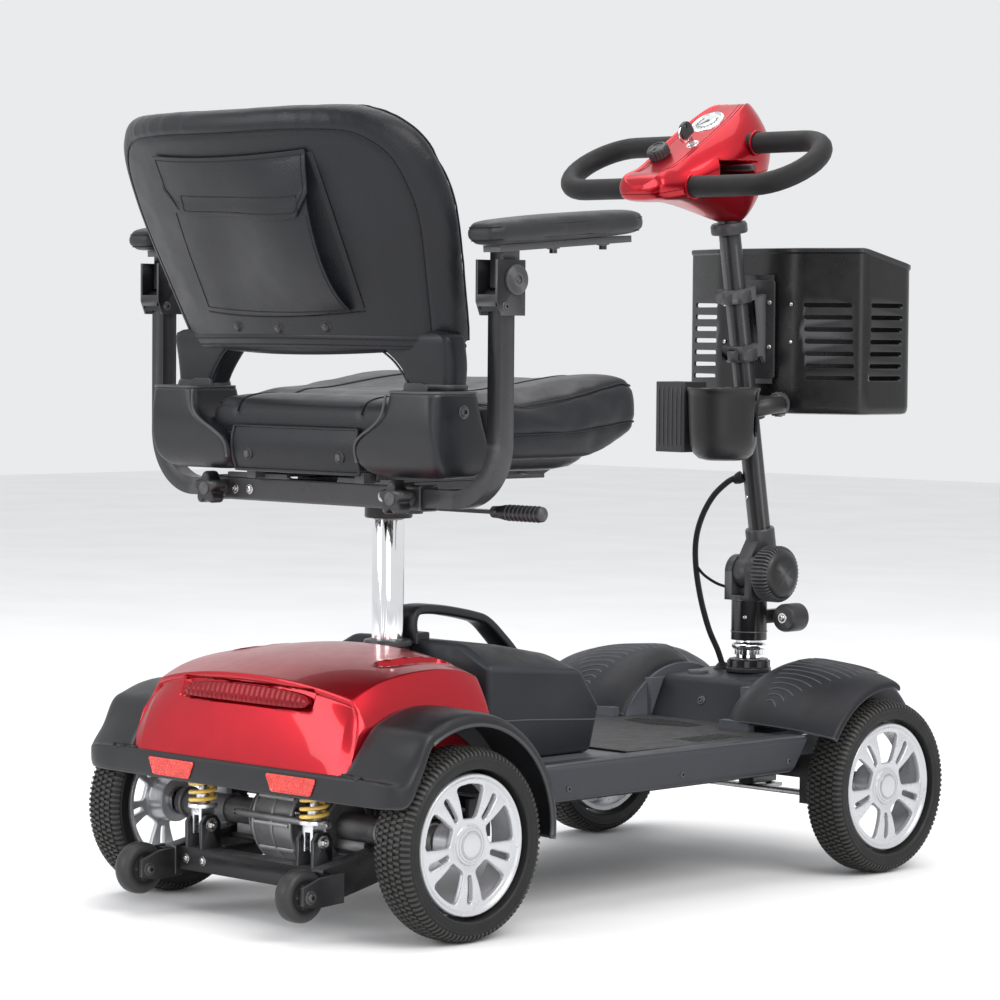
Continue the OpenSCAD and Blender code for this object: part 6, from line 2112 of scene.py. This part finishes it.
def make_carriage():
    """Swivel head, crossbar, slide rails and pan under the seat."""
    head = Part().lathe([(17.6, 418), (25, 418), (26, 419.2), (26, 446), (17.6, 446)], (0, -115, 0), "z", 64)
    piece("swivel_head", head, "frame_paint", "seat", replaces="seat_frame", rounding=(0.6, 2))
    bar = Part()
    outer = round_corners([(-32, 435.5), (-7, 435.5), (-7, 460.5), (-32, 460.5)], 3, 4)
    inner = round_corners([(-29.2, 438.3), (-9.8, 438.3), (-9.8, 457.7), (-29.2, 457.7)], 2, 4)
    rows = []
    for x, loop in ((-60, inner), (-160, inner), (-160, outer), (160, outer), (160, inner), (60, inner)):
        rows.append([(x, y, z) for y, z in loop])
    bar.grid(rows, wrap_u=True, caps=True)
    piece("seat_crossbar", bar, "frame_paint", "seat", rounding=(0.4, 2), smooth=50)
    parts = Part()
    parts.prism(round_corners([(-70, -175), (70, -175), (70, -53), (-70, -53)], 6), 446, 452, "z")
    for side in (1, -1):
        def span(a, b):
            return (side * a, side * b) if side > 0 else (-b, -a)
        parts.box(span(56, 70), (-57, -31.5), (440, 452))
        parts.box(span(78, 92), (-262, 8), (461, 473))
        parts.box(span(78, 92), (-31, -7), (460, 462))
        parts.box(span(66, 92), (-165, -65), (452, 461))
        parts.box(span(60, 70), (-165, -65), (446, 461))
        parts.box(span(96, 97.5), (-250, -6), (464, 474))
        parts.prism(round_corners([(-258, 486), (-258, 474), (-240, 466), (-214, 466), (-206, 486)], 3), side * 100, side * 112,
                    "x")
        parts.box(span(40, 76), (-9, -3), (460.5, 466))
        parts.box(span(104, 136), (-9, -3), (460.5, 466))
    piece("seat_rails", parts, "frame_paint", "seat", rounding=(0.9, 2))
    pan = Part()
    outline = [(136, 4), (136, -58), (180, -76), (184, -120), (184, -200), (176, -240), (150, -262), (90, -274), (0, -278)]
    outline = round_corners(outline + [(-x, y) for x, y in outline[-2::-1]], 12)
    rows = []
    for f, z in ((0.78, 472.5), (0.86, 473), (0.93, 476), (0.97, 481), (1.0, 488)):
        rows.append([(x * f, -130 + (y + 130) * f, z + 12 * float(step(np.array(-y), 215, 285))) for x, y in outline])
    pan.grid(rows, wrap_u=True, caps=True)
    piece("seat_pan", pan, "black_plastic", "seat", smooth=40)


def make_seat_metal():
    shown("seat_post", "chrome", 0.8)
    make_carriage()
    lever = Part()
    lever.prism(round_corners([(-170, -123), (-30, -123), (-30, -107), (-170, -107)], 3), 429.1, 432.9, "z")
    lever.tube([(-38, -115, 424), (-38, -115, 434)], 11, 32)
    grip = Part().lathe([(0.01, -233), (6.4, -233), (7.8, -231.6), (8.2, -229), (8.2, -178), (7.4, -174), (6.6, -168),
                         (6.2, -160), (0.01, -160)], (0, -115, 431), "x", 32)
    for x in range(-226, -178, 6):
        ring = [(x, -115 + 8.1 * cosd(a), 431 + 8.1 * sind(a)) for a in range(0, 360, 12)]
        grip.tube(ring, (0.7, 1.0), 6, closed=True, up=(1, 0, 0))
    o = to_object("seat_lever_bar", lever, "frame_paint", 35)
    piece("seat_lever_bar", o, "frame_paint", "seat_lever", replaces="seat_lever", rounding=(0.8, 2))
    piece("seat_lever_grip", grip, "black_plastic", "seat_lever", smooth=45)
    collar = Part().lathe([(24.2, 279), (26.4, 280), (26.6, 283), (25.4, 286), (20, 287.4), (17.8, 287.4), (17.8, 279)],
                          (0, -115, 0), "z", 56)
    piece("post_bushing", collar, "black_plastic", "chassis", smooth=40)
    bolts = Part()
    for side in (1, -1):
        for x in (104, 128):
            hex_bolt(bolts, (side * x, -19.5 + 12.5, 448), (0, 1, 0), 3.6, 2.6)
        for y in (-155, -75):
            hex_bolt(bolts, (side * 63, y, 446), (0, 0, -1), 4, 3)
    piece("seat_bolts", bolts, "bolt_steel", "seat", slot="steel")
    ends = Part()
    for side in (1, -1):
        ring = [(side * 160.4, y, z) for y, z in round_corners([(-32, 435.5), (-7, 435.5), (-7, 460.5), (-32, 460.5)], 3)]
        ends.tube(ring, 1.3, 8, closed=True, up=(1, 0, 0))
        for i, x in enumerate((38, 96)):
            ends.box(sorted((side * x, side * (x + 36))), (-9, -4), (460.6, 462.4))
    piece("crossbar_trim", ends, "frame_paint", "seat")


def make_armrests():
    for side, tag in ((1, "left"), (-1, "right")):
        s = tag[0]
        shown("armrest_tube_" + s, "frame_paint", 1.6)
        shown("armrest_bar_" + s, "frame_paint", 0.8)
        bolts = Part()
        for k in (1, -1):
            hex_bolt(bolts, (side * 263.5 + k * 15.6, -24, 672), (k, 0, 0), 8.0, 5.2)
        hex_bolt(bolts, (side * 263.5 + side * 15.6, -10, 645), (side, 0, 0), 3.2, 2.4)
        hex_bolt(bolts, (side * 263.5 - side * 15.6, -10, 645), (-side, 0, 0), 3.2, 2.4)
        piece("arm_bolts_" + tag, bolts, "black_bolt", "armrest_" + tag)
        cover = Part()
        cover.lathe([(0.01, 15.6), (15, 15.6), (15.6, 16.4), (15.2, 18.4), (12.5, 19.6), (0.01, 19.8)], (side * 263.5, -24, 672), "x", 48) \
            if side > 0 else cover.lathe([(0.01, -15.6), (15, -15.6), (15.6, -16.4), (15.2, -18.4), (12.5, -19.6), (0.01, -19.8)],
                                         (side * 263.5, -24, 672), "x", 48)
        piece("arm_pivot_cover_" + tag, cover, "black_plastic", "armrest_" + tag, smooth=40)
        # pad: a rounded foam block with pulled-in sides
        turn = Matrix.Rotation(math.radians(-4.3), 3, "X")
        rows = []
        for i in range(27):
            t = i / 26
            y = -238 + 230 * t
            end = min(1.0, math.sin(math.pi * min(t, 1 - t) * 7.2) if min(t, 1 - t) < 1 / 14.4 else 1.0)
            w = 22.8 * (0.76 + 0.24 * end) - 0.8 * math.sin(math.pi * t)
            hi = 13.4 * (0.74 + 0.26 * end) + 0.8 * math.sin(math.pi * t)
            lo = 12 * (0.72 + 0.28 * end)
            row = []
            for k in range(32):
                a = 2 * math.pi * k / 32
                c, q = math.cos(a), math.sin(a)
                x = w * math.copysign(abs(c) ** 0.42, c)
                z = (hi if q > 0 else lo) * math.copysign(abs(q) ** 0.5, q)
                row.append((x, y, z))
            rows.append(row)
        pad = Part().grid(rows, wrap_u=True, caps=True)
        base = Vector((side * 266, 26, 716))
        pad.v = [tuple(turn @ Vector(p) + base) for p in pad.v]
        o = to_object("arm_pad_" + tag, pad, "pad_vinyl", 180)

        def pins(co):
            return 1 - step(co[:, 2], 706, 712)
        puff(o, pins, 4.5, 3.0, limit=2.0)
        subdivide(o, 1)
        bake(o)
        shade(o.data, 180)
        surface = Surface([o])
        loops = []
        for zz in (6.5, -7.0):
            ring = []
            for x, y in round_corners([(-26, -242), (26, -242), (26, -4), (-26, -4)], 14, 8):
                p = turn @ Vector((x, y, zz)) + base
                aim = turn @ Vector((x * 0.2, -123 + (y + 123) * 0.86, zz)) + base - p
                q = surface.hit(tuple(p - aim * 0.2), tuple(aim))
                if q is not None:
                    ring.append(q)
            loops.append(ring)
        pinch(o, [l for l in loops if len(l) > 3], 0.7, 2.6)
        piece("arm_pad_" + tag, o, "pad_vinyl", "armpad_" + tag, slot="vinyl", replaces="armrest_pad_" + s)
        sewn = Part()
        for l in loops:
            if len(l) > 3:
                sewn.tube(l, 0.55, 6, closed=True)
        piece("arm_pad_seams_" + tag, sewn, "thread", "armpad_" + tag, smooth=60)
        screws = Part()
        for y in (-94, -168):
            z = 716 - 0.075 * (y - 26) - 19.4
            hex_bolt(screws, (side * 263.5, y, z), (0, -0.075, -1), 4.4, 3)
        piece("arm_pad_screws_" + tag, screws, "black_bolt", "armpad_" + tag)
        # lobed clamp knob
        profile = [(3.2, 0.86), (5, 0.97), (8, 1.0), (18, 1.0), (20.6, 0.95), (22, 0.84)]
        rows = []
        for y, f in profile:
            row = []
            for k in range(80):
                a = 2 * math.pi * k / 80
                r = f * (15.6 + 3.1 * math.cos(5 * a))
                row.append((side * 146 + r * math.sin(a), y, 448 + r * math.cos(a)))
            rows.append(row)
        knob = Part().grid(rows, wrap_u=True, caps=True)
        knob.lathe([(0.01, -6.5), (9, -6.5), (9.4, -5), (9.4, 3.5), (0.01, 3.5)], (side * 146, 0, 448), "y", 40)
        knob.lathe([(0.01, 21.8), (7, 21.8), (7.4, 22.4), (6.8, 23.2), (0.01, 23.4)], (side * 146, 0, 448), "y", 32)
        piece("clamp_knob_" + tag, knob, "black_plastic", "armrest_knob_" + tag, replaces="armrest_knob_" + s, smooth=40)
        stem = Part().tube([(side * 146, -9.6, 448), (side * 146, -5, 448)], 4, 20)
        piece("clamp_screw_" + tag, stem, "bolt_steel", "armrest_knob_" + tag, slot="steel")


make_back()
make_hinges()
make_cushion()
make_seat_metal()
make_armrests()

# ---------- floor, light and world ----------


def make_stage():
    mesh = bpy.data.meshes.new("floor")
    mesh.from_pydata([(-9, -9, 0), (9, -9, 0), (9, 9, 0), (-9, 9, 0)], [], [(0, 1, 2, 3)])
    floor = bpy.data.objects.new("floor", mesh)
    scene.collection.objects.link(floor)
    mesh.materials.append(finish_of("floor_paint", (0.86, 0.86, 0.865), 0.62, 0.06, grain=("noise", 900),
                                    grain_depth=0.05, mottle=(0.97, 1.03), mottle_scale=3))
    world = bpy.data.worlds.new("world")
    world.use_nodes = True
    back = world.node_tree.nodes["Background"]
    back.inputs[0].default_value = (0.955, 0.965, 0.98, 1)
    back.inputs[1].default_value = 0.92
    scene.world = world
    area_light("window", (-3.0, 0.6, 2.9), (0, 0, 0.45), (2.6, 2.2), 110, (1, 0.985, 0.96))
    area_light("ceiling", (0.6, -0.2, 3.4), (0, 0, 0.4), (3.2, 3.2), 80, (1, 0.99, 0.98))
    area_light("side", (1.5, 3.4, 1.6), (0, 0, 0.5), (2.2, 1.8), 60, (0.97, 0.98, 1))
    area_light("low_fill", (-2.2, 2.6, 0.9), (0, 0, 0.35), (1.6, 1.0), 16, (1, 1, 1))
    scene.view_settings.view_transform = "Standard"
    scene.view_settings.look = "None"
    scene.view_settings.exposure = -0.1


make_stage()
